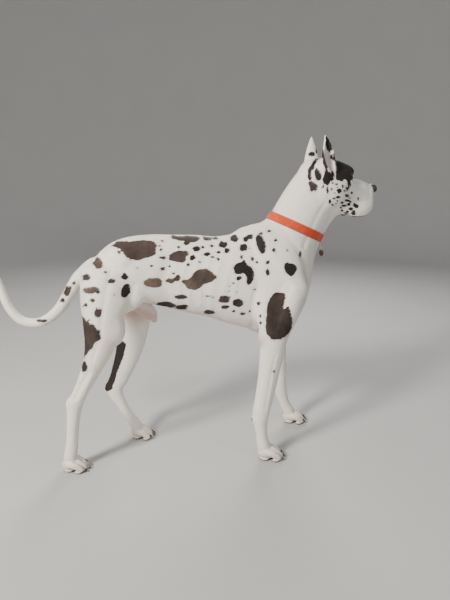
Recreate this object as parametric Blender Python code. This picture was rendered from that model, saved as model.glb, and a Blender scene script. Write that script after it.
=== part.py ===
"""A great dane standing in profile, life size, as a still museum model.

The animal is sculpted as one smooth field: tubes along the spine, neck, limbs and tail, balls
for muscles, and grooves for the mouth, lids and throat, all melted together.  Each part of the
body is meshed from that field, thinned, and parted from its neighbours by flat cuts.

Metres, +X towards the nose, +Y to the animal's left, +Z up, floor at Z = 0.
"""

import itertools
import math

import bmesh
import bpy
import numpy as np
from mathutils import Matrix, Vector

for _object in list(bpy.data.objects):
    bpy.data.objects.remove(_object, do_unlink=True)


# Driving dimensions
GAP = 0.0003  # between faces that touch
MID_X = 0.1284  # middle of the box round the nose and the tail's tip, in the sculpting frame
MID_Y = 0.0000
HEAD_TURN = math.radians(14.0)  # to the animal's left
HEAD_PIVOT_X = 0.600
EYE = (0.0770, 0.0362, 1.0055)  # forward of the pivot, to the side, above the floor
EYE_RADIUS = 0.0125
EYE_LOOK = (0.70, 0.70, 0.10)
COLLAR_CENTRE = (0.5000, 0.0, 0.8310)
COLLAR_LEAN = math.radians(24.0)
COLLAR_WIDTH = 0.030
COLLAR_THICKNESS = 0.0032
COLLAR_STEPS = 48
FORE_Y = 0.1245
HIND_Y = 0.0935

# A station of a tube: x, y, z, half depth in profile, half width
TORSO = (
    (-0.178, 0, 0.676, 0.060, 0.052),
    (-0.140, 0, 0.684, 0.088, 0.078),
    (-0.085, 0, 0.692, 0.109, 0.092),
    (-0.010, 0, 0.692, 0.119, 0.091),
    (0.060, 0, 0.683, 0.127, 0.090),
    (0.130, 0, 0.672, 0.136, 0.097),
    (0.208, 0, 0.659, 0.143, 0.107),
    (0.290, 0, 0.649, 0.165, 0.114),
    (0.360, 0, 0.645, 0.183, 0.114),
    (0.398, 0, 0.641, 0.185, 0.110),
    (0.428, 0, 0.640, 0.185, 0.108),
)
NECK = (
    (0.385, 0, 0.640, 0.110, 0.080),
    (0.423, 0, 0.705, 0.124, 0.088),
    (0.455, 0, 0.748, 0.116, 0.082),
    (0.480, 0, 0.790, 0.104, 0.075),
    (0.5000, 0, 0.831, 0.0975, 0.070),
    (0.529, 0, 0.885, 0.0955, 0.066),
    (0.558, 0, 0.936, 0.0915, 0.061),
    (0.578, 0.001, 0.966, 0.0885, 0.0575),
    (0.590, 0.002, 0.984, 0.0880, 0.0570),
)
BREAST = (
    (0.500, 0, 0.735, 0.048, 0.048),
    (0.510, 0, 0.672, 0.049, 0.052),
    (0.503, 0, 0.610, 0.051, 0.056),
    (0.480, 0, 0.550, 0.054, 0.058),
    (0.448, 0, 0.502, 0.056, 0.052),
    (0.400, 0, 0.500, 0.050, 0.046),
)
THROAT = (
    (0.655, 0.012, 0.893, 0.020, 0.022),
    (0.622, 0.008, 0.864, 0.024, 0.019),
    (0.592, 0.003, 0.818, 0.022, 0.016),
    (0.570, 0, 0.768, 0.020, 0.016),
    (0.550, 0, 0.710, 0.018, 0.020),
)
TAIL = (
    (-0.190, 0, 0.700, 0.032, 0.030),
    (-0.222, 0, 0.685, 0.0290, 0.0270),
    (-0.252, 0, 0.660, 0.0250, 0.0230),
    (-0.285, 0, 0.612, 0.0215, 0.0200),
    (-0.319, 0, 0.564, 0.0190, 0.0180),
    (-0.362, 0, 0.529, 0.0175, 0.0168),
    (-0.406, 0.001, 0.516, 0.0168, 0.0160),
    (-0.451, 0.003, 0.531, 0.0160, 0.0152),
    (-0.483, 0.006, 0.573, 0.0150, 0.0144),
    (-0.500, 0.010, 0.622, 0.0138, 0.0132),
    (-0.513, 0.014, 0.668, 0.0118, 0.0112),
    (-0.532, 0.018, 0.712, 0.0088, 0.0084),
    (-0.556, 0.022, 0.748, 0.0050, 0.0048),
)

# Fore limb: near one set back, far one set forward
ARMS = {
    "right": (
        (0.472, 0.102, 0.622, 0.048, 0.040),
        (0.442, 0.110, 0.548, 0.050, 0.040),
        (0.409, 0.116, 0.470, 0.047, 0.037),
        (0.3960, 0.1190, 0.385, 0.0415, 0.0300),
        (0.3885, 0.1200, 0.325, 0.0370, 0.0272),
        (0.3740, 0.1220, 0.240, 0.0335, 0.0240),
        (0.3620, 0.1230, 0.172, 0.0298, 0.0245),
        (0.3660, 0.1240, 0.105, 0.0212, 0.0205),
        (0.3740, 0.1245, 0.055, 0.0240, 0.0240),
    ),
    "left": (
        (0.484, 0.102, 0.622, 0.048, 0.040),
        (0.474, 0.110, 0.552, 0.050, 0.040),
        (0.462, 0.116, 0.470, 0.047, 0.037),
        (0.4740, 0.1190, 0.385, 0.0415, 0.0300),
        (0.4820, 0.1200, 0.325, 0.0370, 0.0272),
        (0.4890, 0.1220, 0.240, 0.0330, 0.0240),
        (0.4960, 0.1230, 0.172, 0.0298, 0.0245),
        (0.5170, 0.1240, 0.100, 0.0215, 0.0205),
        (0.5380, 0.1245, 0.055, 0.0240, 0.0240),
    ),
}
SCAPULA = (
    (0.362, 0.040, 0.795, 0.034, 0.018),
    (0.400, 0.074, 0.735, 0.052, 0.030),
    (0.445, 0.088, 0.675, 0.054, 0.036),
    (0.477, 0.094, 0.628, 0.045, 0.040),
)
TRICEPS = {
    "right": (
        (0.405, 0.088, 0.650, 0.052, 0.030),
        (0.385, 0.103, 0.560, 0.046, 0.034),
        (0.384, 0.114, 0.490, 0.032, 0.028),
    ),
    "left": (
        (0.420, 0.088, 0.650, 0.052, 0.030),
        (0.425, 0.103, 0.560, 0.046, 0.034),
        (0.434, 0.114, 0.490, 0.032, 0.028),
    ),
}
LEGS = {
    "right": (
        (-0.158, 0.056, 0.680, 0.078, 0.048),
        (-0.162, 0.080, 0.605, 0.075, 0.050),
        (-0.169, 0.093, 0.530, 0.0640, 0.044),
        (-0.184, 0.096, 0.455, 0.0490, 0.0365),
        (-0.2120, 0.0960, 0.383, 0.0340, 0.0275),
        (-0.2520, 0.0950, 0.303, 0.0252, 0.0210),
        (-0.2780, 0.0940, 0.248, 0.0262, 0.0205),
        (-0.2885, 0.0935, 0.185, 0.0222, 0.0185),
        (-0.2985, 0.0935, 0.105, 0.0212, 0.0185),
        (-0.3080, 0.0935, 0.055, 0.0235, 0.0220),
    ),
    "left": (
        (-0.150, 0.056, 0.680, 0.078, 0.048),
        (-0.116, 0.080, 0.605, 0.080, 0.050),
        (-0.090, 0.093, 0.525, 0.0720, 0.044),
        (-0.085, 0.096, 0.445, 0.0600, 0.0365),
        (-0.1010, 0.0960, 0.362, 0.0480, 0.0290),
        (-0.1370, 0.0950, 0.268, 0.0370, 0.0225),
        (-0.1600, 0.0940, 0.212, 0.0300, 0.0205),
        (-0.1330, 0.0935, 0.142, 0.0205, 0.0185),
        (-0.1010, 0.0935, 0.080, 0.0210, 0.0190),
        (-0.0840, 0.0935, 0.052, 0.0235, 0.0220),
    ),
}
# Paw: middle of the foot, and size against a fore paw
PAWS = {
    "fore_right": (0.394, -FORE_Y - 0.001, 1.00),
    "fore_left": (0.557, FORE_Y + 0.001, 1.00),
    "hind_right": (-0.300, -HIND_Y, 0.94),
    "hind_left": (-0.070, HIND_Y, 0.94),
}


def smooth_min(a, b, k):
    """Union of two fields, melted over a width k."""
    h = np.maximum(k - np.abs(a - b), 0.0) / k
    return np.minimum(a, b) - h * h * k * 0.25


def smooth_max(a, b, k):
    return -smooth_min(-a, -b, k)


def curve(stations, step=0.010):
    """Catmull-Rom curve through the stations, sampled about every step."""
    p = np.array(stations, float)
    ends = np.vstack((2 * p[0] - p[1], p, 2 * p[-1] - p[-2]))
    out = []
    for i in range(len(p) - 1):
        a, b, c, d = ends[i : i + 4]
        n = max(2, int(np.linalg.norm(c[:3] - b[:3]) / step))
        t = (np.arange(n) / n)[:, None]
        out.append(
            0.5
            * (2 * b + (c - a) * t + (2 * a - 5 * b + 4 * c - d) * t**2 + (3 * b - a - 3 * c + d) * t**3)
        )
    return np.vstack(out + [p[-1:]])


class Tube:
    """Elliptic tube along a curve, with rounded ends."""

    def __init__(self, stations, melt, side=(0.0, 1.0, 0.0), step=0.010, power=2.0):
        s = curve(stations, step)
        self.a, self.b = s[:-1], s[1:]
        self.melt, self.power = melt, power
        along = self.b[:, :3] - self.a[:, :3]
        self.length2 = (along**2).sum(1)
        t = along / np.sqrt(self.length2)[:, None]
        side = np.array(side, float)
        w = side - t * (t @ side)[:, None]
        self.t, self.w = t, w / np.linalg.norm(w, axis=1)[:, None]
        self.d = np.cross(self.t, self.w)
        reach = s[:, 3:].max() + 0.055
        self.low, self.high = s[:, :3].min(0) - reach, s[:, :3].max(0) + reach

    def __call__(self, p):
        best = np.full(len(p), np.inf)
        which = np.zeros(len(p), int)
        part = np.zeros(len(p))
        for i in range(len(self.a)):
            q = p - self.a[i, :3]
            along = self.b[i, :3] - self.a[i, :3]
            u = np.clip(q @ along / self.length2[i], 0.0, 1.0)
            far = ((q - u[:, None] * along) ** 2).sum(1)
            near = far < best
            best[near], which[near], part[near] = far[near], i, u[near]
        near = self.a[which] + part[:, None] * (self.b[which] - self.a[which])
        q = p - near[:, :3]
        deep, wide = near[:, 3], near[:, 4]
        x = np.abs((q * self.d[which]).sum(1)) / deep
        y = np.abs((q * self.w[which]).sum(1)) / wide
        z = np.abs((q * self.t[which]).sum(1)) / np.minimum(deep, wide)
        n = self.power
        r = (x**n + y**n + z**n) ** (1.0 / n) + 1e-9
        return np.sqrt(best) * (1.0 - 1.0 / r) - 1e-9 * (r < 1e-6)


class Ball:
    """Ellipsoid with its long axes turned by yaw, pitch and roll in degrees."""

    def __init__(self, centre, radii, melt, turn=(0.0, 0.0, 0.0)):
        self.c, self.r, self.melt = np.array(centre, float), np.array(radii, float), melt
        yaw, pitch, roll = (math.radians(v) for v in turn)
        turned = Matrix.Rotation(yaw, 3, "Z") @ Matrix.Rotation(pitch, 3, "Y") @ Matrix.Rotation(roll, 3, "X")
        self.m = np.array(turned)
        reach = self.r.max() + 0.055
        self.low, self.high = self.c - reach, self.c + reach

    def __call__(self, p):
        q = (p - self.c) @ self.m
        far = np.sqrt((q**2).sum(1))
        r = np.sqrt(((q / self.r) ** 2).sum(1)) + 1e-9
        return far * (1.0 - 1.0 / r)


def melted(pieces, p, start=None):
    """Smooth union of pieces at points p."""
    out = np.full(len(p), 1.0) if start is None else start
    for piece in pieces:
        near = np.all((p > piece.low) & (p < piece.high), axis=1)
        if near.any():
            out[near] = smooth_min(out[near], piece(p[near]), piece.melt)
    return out


def carved(pieces, p, out):
    """Pieces cut away from the field, with softened rims."""
    for piece in pieces:
        near = np.all((p > piece.low) & (p < piece.high), axis=1)
        if near.any():
            out[near] = smooth_max(out[near], -piece(p[near]), piece.melt)
    return out


def sided(stations, sign):
    return tuple((x, y * sign, z, a, b) for x, y, z, a, b in stations)


def paw_pieces(x, y, size):
    """Four arched toes with claws, and pads whose undersides reach the floor."""
    out = [
        Ball((x - 0.006 * size, y, 0.029 * size), (0.036 * size, 0.029 * size, 0.023 * size), 0.012),
        Ball((x - 0.014 * size, y, 0.008 * size), (0.021 * size, 0.023 * size, 0.0105 * size), 0.006),
    ]
    for spread, ahead in ((-0.0285, -0.010), (-0.0100, 0.0), (0.0100, 0.0), (0.0285, -0.010)):
        s, f = y + spread * size, x + ahead * size
        root = y + 0.6 * spread * size
        toe = (
            (f - 0.012 * size, root, 0.036 * size, 0.0130 * size, 0.0095 * size),
            (f + 0.013 * size, s, 0.0345 * size, 0.0130 * size, 0.0098 * size),
            (f + 0.031 * size, s, 0.0230 * size, 0.0125 * size, 0.0095 * size),
            (f + 0.041 * size, s, 0.0145 * size, 0.0095 * size, 0.0080 * size),
        )
        out.append(Tube(toe, 0.0035, step=0.004))
        out.append(Ball((f + 0.031 * size, s, 0.007 * size), (0.0125 * size, 0.0085 * size, 0.009 * size), 0.003))
        claw = (
            (f + 0.043 * size, s, 0.0200 * size, 0.0042 * size, 0.0034 * size),
            (f + 0.051 * size, s, 0.0165 * size, 0.0036 * size, 0.0030 * size),
            (f + 0.058 * size, s, 0.0085 * size, 0.0018 * size, 0.0017 * size),
        )
        out.append(Tube(claw, 0.0015, step=0.003))
    return out


BODY = [
    Tube(TORSO, 0.04, power=2.2),
    Tube(NECK, 0.06),
    Tube(BREAST, 0.045),
    Tube(THROAT, 0.020),
    Tube(TAIL, 0.022),
]
BODY += [
    Ball((0.345, 0, 0.802), (0.055, 0.030, 0.026), 0.03),
    Ball((0.314, 0, 0.812), (0.013, 0.013, 0.013), 0.014),
    Ball((0.347, 0, 0.820), (0.013, 0.013, 0.013), 0.014),
]
for _side, _sign in (("right", -1.0), ("left", 1.0)):
    BODY += [
        Tube(sided(SCAPULA, _sign), 0.045),
        Tube(sided(TRICEPS[_side], _sign), 0.025),
        Tube(sided(ARMS[_side], _sign), 0.018),
        Tube(sided(LEGS[_side], _sign), 0.022),
        Ball((0.486, 0.050 * _sign, 0.592), (0.040, 0.034, 0.062), 0.03),
        Ball((0.482, 0.096 * _sign, 0.630), (0.033, 0.028, 0.042), 0.02),
        Ball((-0.104, 0.058 * _sign, 0.752), (0.032, 0.022, 0.020), 0.035),
    ]
BODY += [
    # forearm and gaskin muscles
    Ball((0.4060, -0.1290, 0.400), (0.022, 0.014, 0.052), 0.02),
    Ball((0.4830, 0.1290, 0.400), (0.022, 0.014, 0.052), 0.02),
    # elbow, carpal pads, hock points, stifles and flank folds, each where its limb stands
    Ball((0.371, -0.1170, 0.462), (0.020, 0.016, 0.024), 0.014),
    Ball((0.427, 0.1170, 0.462), (0.020, 0.016, 0.024), 0.014),
    Ball((0.3370, -0.1235, 0.160), (0.0100, 0.0085, 0.0110), 0.008),
    Ball((0.4730, 0.1235, 0.160), (0.0100, 0.0085, 0.0110), 0.008),
    Ball((-0.2935, -0.0935, 0.254), (0.0125, 0.0120, 0.0180), 0.014),
    Ball((-0.1840, 0.0935, 0.218), (0.0150, 0.0120, 0.0180), 0.014),
    Ball((-0.122, -0.0940, 0.505), (0.022, 0.024, 0.040), 0.03),
    Ball((-0.045, 0.0940, 0.500), (0.022, 0.024, 0.040), 0.03),
    Ball((-0.085, -0.0700, 0.600), (0.040, 0.016, 0.034), 0.045),
    Ball((-0.050, 0.0700, 0.600), (0.040, 0.016, 0.034), 0.045),
    # sheath
    Tube(
        (
            (-0.095, 0, 0.580, 0.018, 0.016),
            (-0.050, 0, 0.559, 0.025, 0.019),
            (-0.020, 0, 0.540, 0.027, 0.019),
            (-0.007, 0, 0.522, 0.021, 0.016),
            (0.000, 0, 0.510, 0.012, 0.010),
        ),
        0.014,
    ),
]
BODY_CUTS = [
    # hollows between shin and hamstring tendon
    Tube(
        (
            (-0.2270, -0.1290, 0.368, 0.008, 0.010),
            (-0.2560, -0.1215, 0.318, 0.006, 0.008),
            (-0.2740, -0.1165, 0.282, 0.004, 0.005),
        ),
        0.014,
    ),
    Tube(
        (
            (-0.1270, 0.1290, 0.345, 0.008, 0.010),
            (-0.1480, 0.1220, 0.295, 0.006, 0.008),
            (-0.1640, 0.1165, 0.262, 0.004, 0.005),
        ),
        0.014,
    ),
]
for _x, _y, _size in PAWS.values():
    BODY += paw_pieces(_x, _y, _size)

# The head, in its own frame: forward of the pivot, to the side, above the floor; both sides alike
HEAD = [
    Ball((0.022, 0, 1.003), (0.074, 0.055, 0.056), 0.03),
    Ball((-0.035, 0, 1.022), (0.046, 0.036, 0.034), 0.03),
    Ball((0.068, 0.020, 1.016), (0.034, 0.025, 0.024), 0.018),
    Ball((0.034, 0.047, 0.984), (0.047, 0.016, 0.019), 0.036, (8, 4, 0)),
    Ball((0.070, 0.030, 1.021), (0.022, 0.013, 0.009), 0.016, (30, 0, 0)),
    Ball((0.128, 0.018, 0.958), (0.034, 0.012, 0.018), 0.022),
    Ball((0.012, 0.039, 0.942), (0.052, 0.027, 0.046), 0.030),
    Tube(
        (
            (0.066, 0, 0.946, 0.052, 0.046),
            (0.108, 0, 0.937, 0.056, 0.040),
            (0.140, 0, 0.934, 0.056, 0.036),
            (0.162, 0, 0.930, 0.053, 0.0335),
            (0.174, 0, 0.928, 0.050, 0.031),
        ),
        0.02,
        power=2.5,
        step=0.006,
    ),
    # flews, from under the nose round to the corner of the mouth
    Tube(
        (
            (0.188, 0.011, 0.916, 0.019, 0.013),
            (0.177, 0.023, 0.899, 0.022, 0.013),
            (0.158, 0.032, 0.889, 0.024, 0.012),
            (0.138, 0.0355, 0.885, 0.024, 0.011),
            (0.108, 0.0365, 0.882, 0.022, 0.010),
            (0.082, 0.0370, 0.884, 0.016, 0.008),
            (0.066, 0.0370, 0.887, 0.010, 0.006),
        ),
        0.014,
        step=0.005,
    ),
    # lower jaw
    Tube(
        (
            (0.166, 0.004, 0.890, 0.013, 0.019),
            (0.138, 0.010, 0.888, 0.016, 0.021),
            (0.092, 0.020, 0.890, 0.020, 0.020),
            (0.040, 0.030, 0.904, 0.026, 0.020),
        ),
        0.012,
        step=0.006,
    ),
    # lids
    Ball(EYE, (0.0160, 0.0160, 0.0150), 0.009),
    # root of the ear, and the ear itself, a cone open to the side
    Ball((-0.020, 0.040, 1.026), (0.031, 0.022, 0.028), 0.025),
    Tube(
        (
            (-0.016, 0.0460, 1.004, 0.0270, 0.0190),
            (-0.018, 0.0500, 1.024, 0.0310, 0.0230),
            (-0.020, 0.0525, 1.048, 0.0285, 0.0205),
            (-0.023, 0.0510, 1.074, 0.0235, 0.0165),
            (-0.026, 0.0480, 1.098, 0.0165, 0.0115),
            (-0.029, 0.0445, 1.118, 0.0090, 0.0068),
            (-0.031, 0.0420, 1.130, 0.0040, 0.0035),
        ),
        0.010,
        side=(0.12, 1.0, 0.0),
        step=0.006,
    ),
]
HEAD_CUTS = [
    # mouth line
    Tube(
        (
            (0.202, 0.000, 0.9010, 0.0030, 0.0030),
            (0.193, 0.012, 0.8930, 0.0032, 0.0032),
            (0.176, 0.0200, 0.8790, 0.0034, 0.0034),
            (0.146, 0.0260, 0.8700, 0.0036, 0.0036),
            (0.110, 0.0300, 0.8650, 0.0036, 0.0036),
            (0.082, 0.0370, 0.8690, 0.0032, 0.0032),
            (0.062, 0.0440, 0.8780, 0.0024, 0.0024),
        ),
        0.004,
        step=0.004,
    ),
    # groove under the nose
    Tube(
        (
            (0.212, 0, 0.942, 0.0022, 0.0018),
            (0.211, 0, 0.922, 0.0026, 0.0020),
            (0.206, 0, 0.904, 0.0026, 0.0020),
        ),
        0.004,
        step=0.004,
    ),
    # cup of the ear
    Tube(
        (
            (-0.003, 0.0670, 1.000, 0.0060, 0.0070),
            (-0.008, 0.0670, 1.018, 0.0130, 0.0140),
            (-0.014, 0.0640, 1.036, 0.0200, 0.0215),
            (-0.0185, 0.0620, 1.054, 0.0235, 0.0245),
            (-0.0225, 0.0590, 1.074, 0.0198, 0.0205),
            (-0.0255, 0.0550, 1.094, 0.0136, 0.0150),
            (-0.028, 0.0512, 1.109, 0.0074, 0.0095),
        ),
        0.0025,
        side=(0.12, 1.0, 0.0),
        step=0.006,
    ),
    # opening between the lids
    Ball(
        tuple(e + 0.0115 * l for e, l in zip(EYE, EYE_LOOK)),
        (0.0072, 0.0128, 0.0060),
        0.003,
        (math.degrees(math.atan2(EYE_LOOK[1], EYE_LOOK[0])), -4, 8),
    ),
]


def to_head(p):
    """Sculpting frame to the head's own frame, folded to one side."""
    c, s = math.cos(HEAD_TURN), math.sin(HEAD_TURN)
    x = p[:, 0] - HEAD_PIVOT_X
    return np.stack((x * c + p[:, 1] * s, -x * s + p[:, 1] * c, p[:, 2]), axis=1)


def from_head(p):
    c, s = math.cos(HEAD_TURN), math.sin(HEAD_TURN)
    return Vector((HEAD_PIVOT_X + p[0] * c - p[1] * s, p[0] * s + p[1] * c, p[2]))


def dog(p):
    """The whole animal's field: negative inside, about a distance near the surface."""
    out = carved(BODY_CUTS, p, melted(BODY, p))
    q = to_head(p)
    near = (q[:, 0] > -0.14) & (q[:, 0] < 0.32) & (np.abs(q[:, 1]) < 0.14) & (q[:, 2] > 0.80)
    if near.any():
        h = q[near]
        h[:, 1] = np.sqrt(h[:, 1] ** 2 + 1e-6)
        head = melted(HEAD, h)
        out[near] = carved(HEAD_CUTS, h, smooth_min(out[near], head, 0.026))
    return out


def slope(field, p, h=0.0004):
    g = np.empty_like(p)
    for i in range(3):
        d = np.zeros(3)
        d[i] = h
        g[:, i] = (field(p + d) - field(p - d)) / (2 * h)
    return g


def sampled(field, grid, step):
    """Field on a grid, worked out only where a four times coarser grid says that a surface is near."""
    shape = grid.shape[:3]
    rough = field(grid[::4, ::4, ::4].reshape(-1, 3)).reshape([-(-m // 4) for m in shape])
    low = np.pad(np.abs(rough), ((0, 1),) * 3, mode="edge")
    least = np.minimum.reduce(
        [low[i : i + rough.shape[0], j : j + rough.shape[1], k : k + rough.shape[2]]
         for i, j, k in itertools.product((0, 1), repeat=3)]
    )
    i, j, k = np.ix_(*[np.arange(m) // 4 for m in shape])
    near = least[i, j, k] < 7.5 * step
    d = rough[i, j, k].copy()
    d[near] = field(grid[near])
    return d


def net(field, low, high, step):
    """Quads on the field's zero surface inside a box, closed at the box's sides."""
    axes = [np.arange(low[i], high[i] + step, step) for i in range(3)]
    grid = np.stack(np.meshgrid(*axes, indexing="ij"), -1)
    d = sampled(field, grid, step)
    for axis in range(3):
        rim = [slice(None)] * 3
        for end in (0, -1):
            rim[axis] = end
            d[tuple(rim)] = np.maximum(d[tuple(rim)], 0.3 * step)
    n = [m - 1 for m in d.shape]

    def corner(a, o):
        return a[o[0] : o[0] + n[0], o[1] : o[1] + n[1], o[2] : o[2] + n[2]]

    corners = list(itertools.product((0, 1), repeat=3))
    total, hits = np.zeros((*n, 3)), np.zeros(n)
    for a, b in itertools.combinations(corners, 2):
        if sum(abs(i - j) for i, j in zip(a, b)) != 1:
            continue
        da, db = corner(d, a), corner(d, b)
        cross = (da < 0) != (db < 0)
        t = np.where(cross, da / np.where(cross, da - db, 1.0), 0.0)[..., None]
        total += np.where(cross[..., None], corner(grid, a) * (1 - t) + corner(grid, b) * t, 0.0)
        hits += cross
    used = hits > 0
    index = np.full(n, -1)
    index[used] = np.arange(used.sum())
    points = total[used] / hits[used][:, None]
    quads = []
    for axis in range(3):
        u, v = [i for i in range(3) if i != axis]
        first = [slice(0, m) for m in d.shape]
        last = [slice(0, m) for m in d.shape]
        for i in (u, v):
            first[i] = last[i] = slice(1, n[i])
        first[axis], last[axis] = slice(0, n[axis]), slice(1, n[axis] + 1)
        a, b = d[tuple(first)] < 0, d[tuple(last)] < 0

        def cells(du, dv):
            part = [slice(0, n[axis])] * 3
            part[u] = slice(1 - du, n[u] - du)
            part[v] = slice(1 - dv, n[v] - dv)
            return index[tuple(part)]

        ring = np.stack([cells(1, 1), cells(0, 1), cells(0, 0), cells(1, 0)], -1)
        if axis == 1:
            ring = ring[..., ::-1]
        quads.append(ring[a & ~b])
        quads.append(ring[b & ~a][:, ::-1])
    return points, np.vstack(quads)


def settled(field, points, step, low=None, high=None):
    """Points moved onto the zero surface, except those at the sides of the box."""
    inner = np.ones(len(points), bool)
    if low is not None:
        inner = np.all((points > np.array(low) + 1.5 * step) & (points < np.array(high) - 1.5 * step), axis=1)
    q = points[inner]
    for _ in range(3):
        g = slope(field, q)
        move = field(q)[:, None] * g / np.maximum((g**2).sum(1), 0.25)[:, None]
        far = np.linalg.norm(move, axis=1)[:, None]
        q = q - move * np.minimum(1.0, 0.35 * step / np.maximum(far, 1e-9))
    points = points.copy()
    points[inner] = q
    return points


def skin_mesh(name, field, low, high, step, triangles):
    """Mesh of the field's surface in a box: even quads from a voxel remesh, settled, then thinned."""
    points, faces = net(field, low, high, step)
    mesh = bpy.data.meshes.new(name)
    mesh.from_pydata(points.tolist(), [], faces.tolist())
    whole = bpy.data.objects.new(name + "_whole", mesh)
    bpy.context.scene.collection.objects.link(whole)
    even = whole.modifiers.new("even", "REMESH")
    even.mode = "VOXEL"
    even.voxel_size = step
    fine = bpy.data.meshes.new_from_object(whole.evaluated_get(bpy.context.evaluated_depsgraph_get()))
    whole.modifiers.clear()
    points = np.empty(len(fine.vertices) * 3, np.float32)
    fine.vertices.foreach_get("co", points)
    points = settled(field, points.reshape(-1, 3).astype(float), step, low, high)
    fine.vertices.foreach_set("co", points.astype(np.float32).ravel())
    whole.data = fine
    thin = whole.modifiers.new("thin", "DECIMATE")
    thin.ratio = min(1.0, triangles / (2 * len(fine.polygons)))
    thin.use_collapse_triangulate = True
    out = bpy.data.meshes.new_from_object(whole.evaluated_get(bpy.context.evaluated_depsgraph_get()))
    bpy.data.objects.remove(whole)
    return out


def material(name, colour, rough, metal=0.0):
    m = bpy.data.materials.new(name)
    m.use_nodes = True
    shader = m.node_tree.nodes["Principled BSDF"]
    shader.inputs["Base Color"].default_value = (*colour, 1.0)
    shader.inputs["Roughness"].default_value = rough
    shader.inputs["Metallic"].default_value = metal
    m.diffuse_color = (*colour, 1.0)
    return m


def add(name, mesh, mat):
    """Object with its mesh moved from the sculpting frame to the model's frame."""
    mesh.transform(Matrix.Translation((-MID_X, -MID_Y, 0.0)))
    mesh.materials.clear()
    mesh.materials.append(mat)
    obj = bpy.data.objects.new(name, mesh)
    bpy.context.scene.collection.objects.link(obj)
    return obj


def largest(bm):
    """Drops everything but the largest connected piece."""
    left, pieces = set(bm.verts), []
    while left:
        todo = [left.pop()]
        piece = set(todo)
        while todo:
            for e in todo.pop().link_edges:
                for v in e.verts:
                    if v in left:
                        left.remove(v)
                        piece.add(v)
                        todo.append(v)
        pieces.append(piece)
    keep = max(pieces, key=len)
    bmesh.ops.delete(bm, geom=[v for v in bm.verts if v not in keep], context="VERTS")


def cut(bm, point, normal):
    """Keeps the side that the normal points away from, and closes it."""
    geom = bm.verts[:] + bm.edges[:] + bm.faces[:]
    n = Vector(normal).normalized()
    done = bmesh.ops.bisect_plane(
        bm, geom=geom, dist=1e-6, plane_co=Vector(point) - n * GAP / 2, plane_no=n, clear_outer=True
    )
    edges = [e for e in done["geom_cut"] if isinstance(e, bmesh.types.BMEdge) and e.is_valid and e.is_boundary]
    bmesh.ops.holes_fill(bm, edges=edges, sides=0)


def flesh(name, low, high, step, triangles, planes, mat):
    """One part of the animal: its stretch of the skin, cut off flat at each plane."""
    bm = bmesh.new()
    bm.from_mesh(skin_mesh(name, dog, low, high, step, triangles))
    for point, normal in planes:
        cut(bm, point, normal)
    largest(bm)
    bmesh.ops.triangulate(bm, faces=[f for f in bm.faces if len(f.verts) > 3])
    bmesh.ops.dissolve_degenerate(bm, edges=bm.edges[:], dist=1e-5)
    bmesh.ops.recalc_face_normals(bm, faces=bm.faces[:])
    out = bpy.data.meshes.new(name)
    bm.to_mesh(out)
    bm.free()
    out.shade_smooth()
    out.set_sharp_from_angle(angle=math.radians(50))
    return add(name, out, mat)


def subtract(obj, cutter, name):
    """Live Boolean that makes room for a neighbour."""
    cutter.hide_render = True
    cutter.display_type = "WIRE"
    b = obj.modifiers.new(name, "BOOLEAN")
    b.operation = "DIFFERENCE"
    b.solver = "EXACT"
    b.object = cutter


def ring_mesh(name, rings):
    """Closed tube through rings of points, its last ring joined to its first."""
    count = len(rings[0])
    points = [tuple(p) for ring in rings for p in ring]
    faces = []
    for i in range(len(rings)):
        j = (i + 1) % len(rings)
        for k in range(count):
            m = (k + 1) % count
            faces.append((i * count + k, j * count + k, j * count + m, i * count + m))
    mesh = bpy.data.meshes.new(name)
    mesh.from_pydata(points, [], faces)
    bm = bmesh.new()
    bm.from_mesh(mesh)
    bmesh.ops.triangulate(bm, faces=bm.faces[:], quad_method="FIXED")
    bmesh.ops.recalc_face_normals(bm, faces=bm.faces[:])
    bm.to_mesh(mesh)
    bm.free()
    return mesh


COAT = material("coat", (0.82, 0.78, 0.70), 0.75)
LEATHER_NOSE = material("nose_leather", (0.03, 0.025, 0.03), 0.4)
CORNEA = material("eye", (0.03, 0.015, 0.008), 0.08)
BAND = material("band", (0.80, 0.09, 0.05), 0.6)
STEEL = material("steel", (0.6, 0.6, 0.6), 0.3, 1.0)
TAG = material("tag", (0.05, 0.04, 0.04), 0.4)

# Cuts: a point on each and the way it faces
NECK_CUT = ((0.4675, 0, 0.790), (0.455, 0, 0.890))
HEAD_CUT = ((0.5830, 0, 0.950), (0.836, 0, 0.549))
LOIN_X = 0.022
HIP_Z = 0.560
ELBOW_Z = 0.432
RUMP_X = -0.243
TAIL_CUTS = (((-0.335, 0, 0.548), (-0.776, 0, -0.631)), ((-0.478, 0, 0.565), (-0.550, 0, 0.830)))
KNEE_CUTS = {
    "right": ((-0.2400, 0, 0.3300), (-0.447, 0, -0.894)),
    "left": ((-0.1150, 0, 0.3250), (-0.350, 0, -0.937)),
}
FORE_PAW_Z = 0.086
HIND_PAW_Z = 0.082
FLOOR = ((0, 0, -GAP / 2), (0, 0, -1))


def ear_cut(side):
    """Slanting plane between the skull and an ear."""
    c, s = math.cos(HEAD_TURN), math.sin(HEAD_TURN)
    return from_head((-0.020, 0.034 * side, 1.050)), (-0.55 * side * s, 0.55 * side * c, 0.835)


def flip(plane):
    return plane[0], tuple(-v for v in plane[1])


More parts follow.
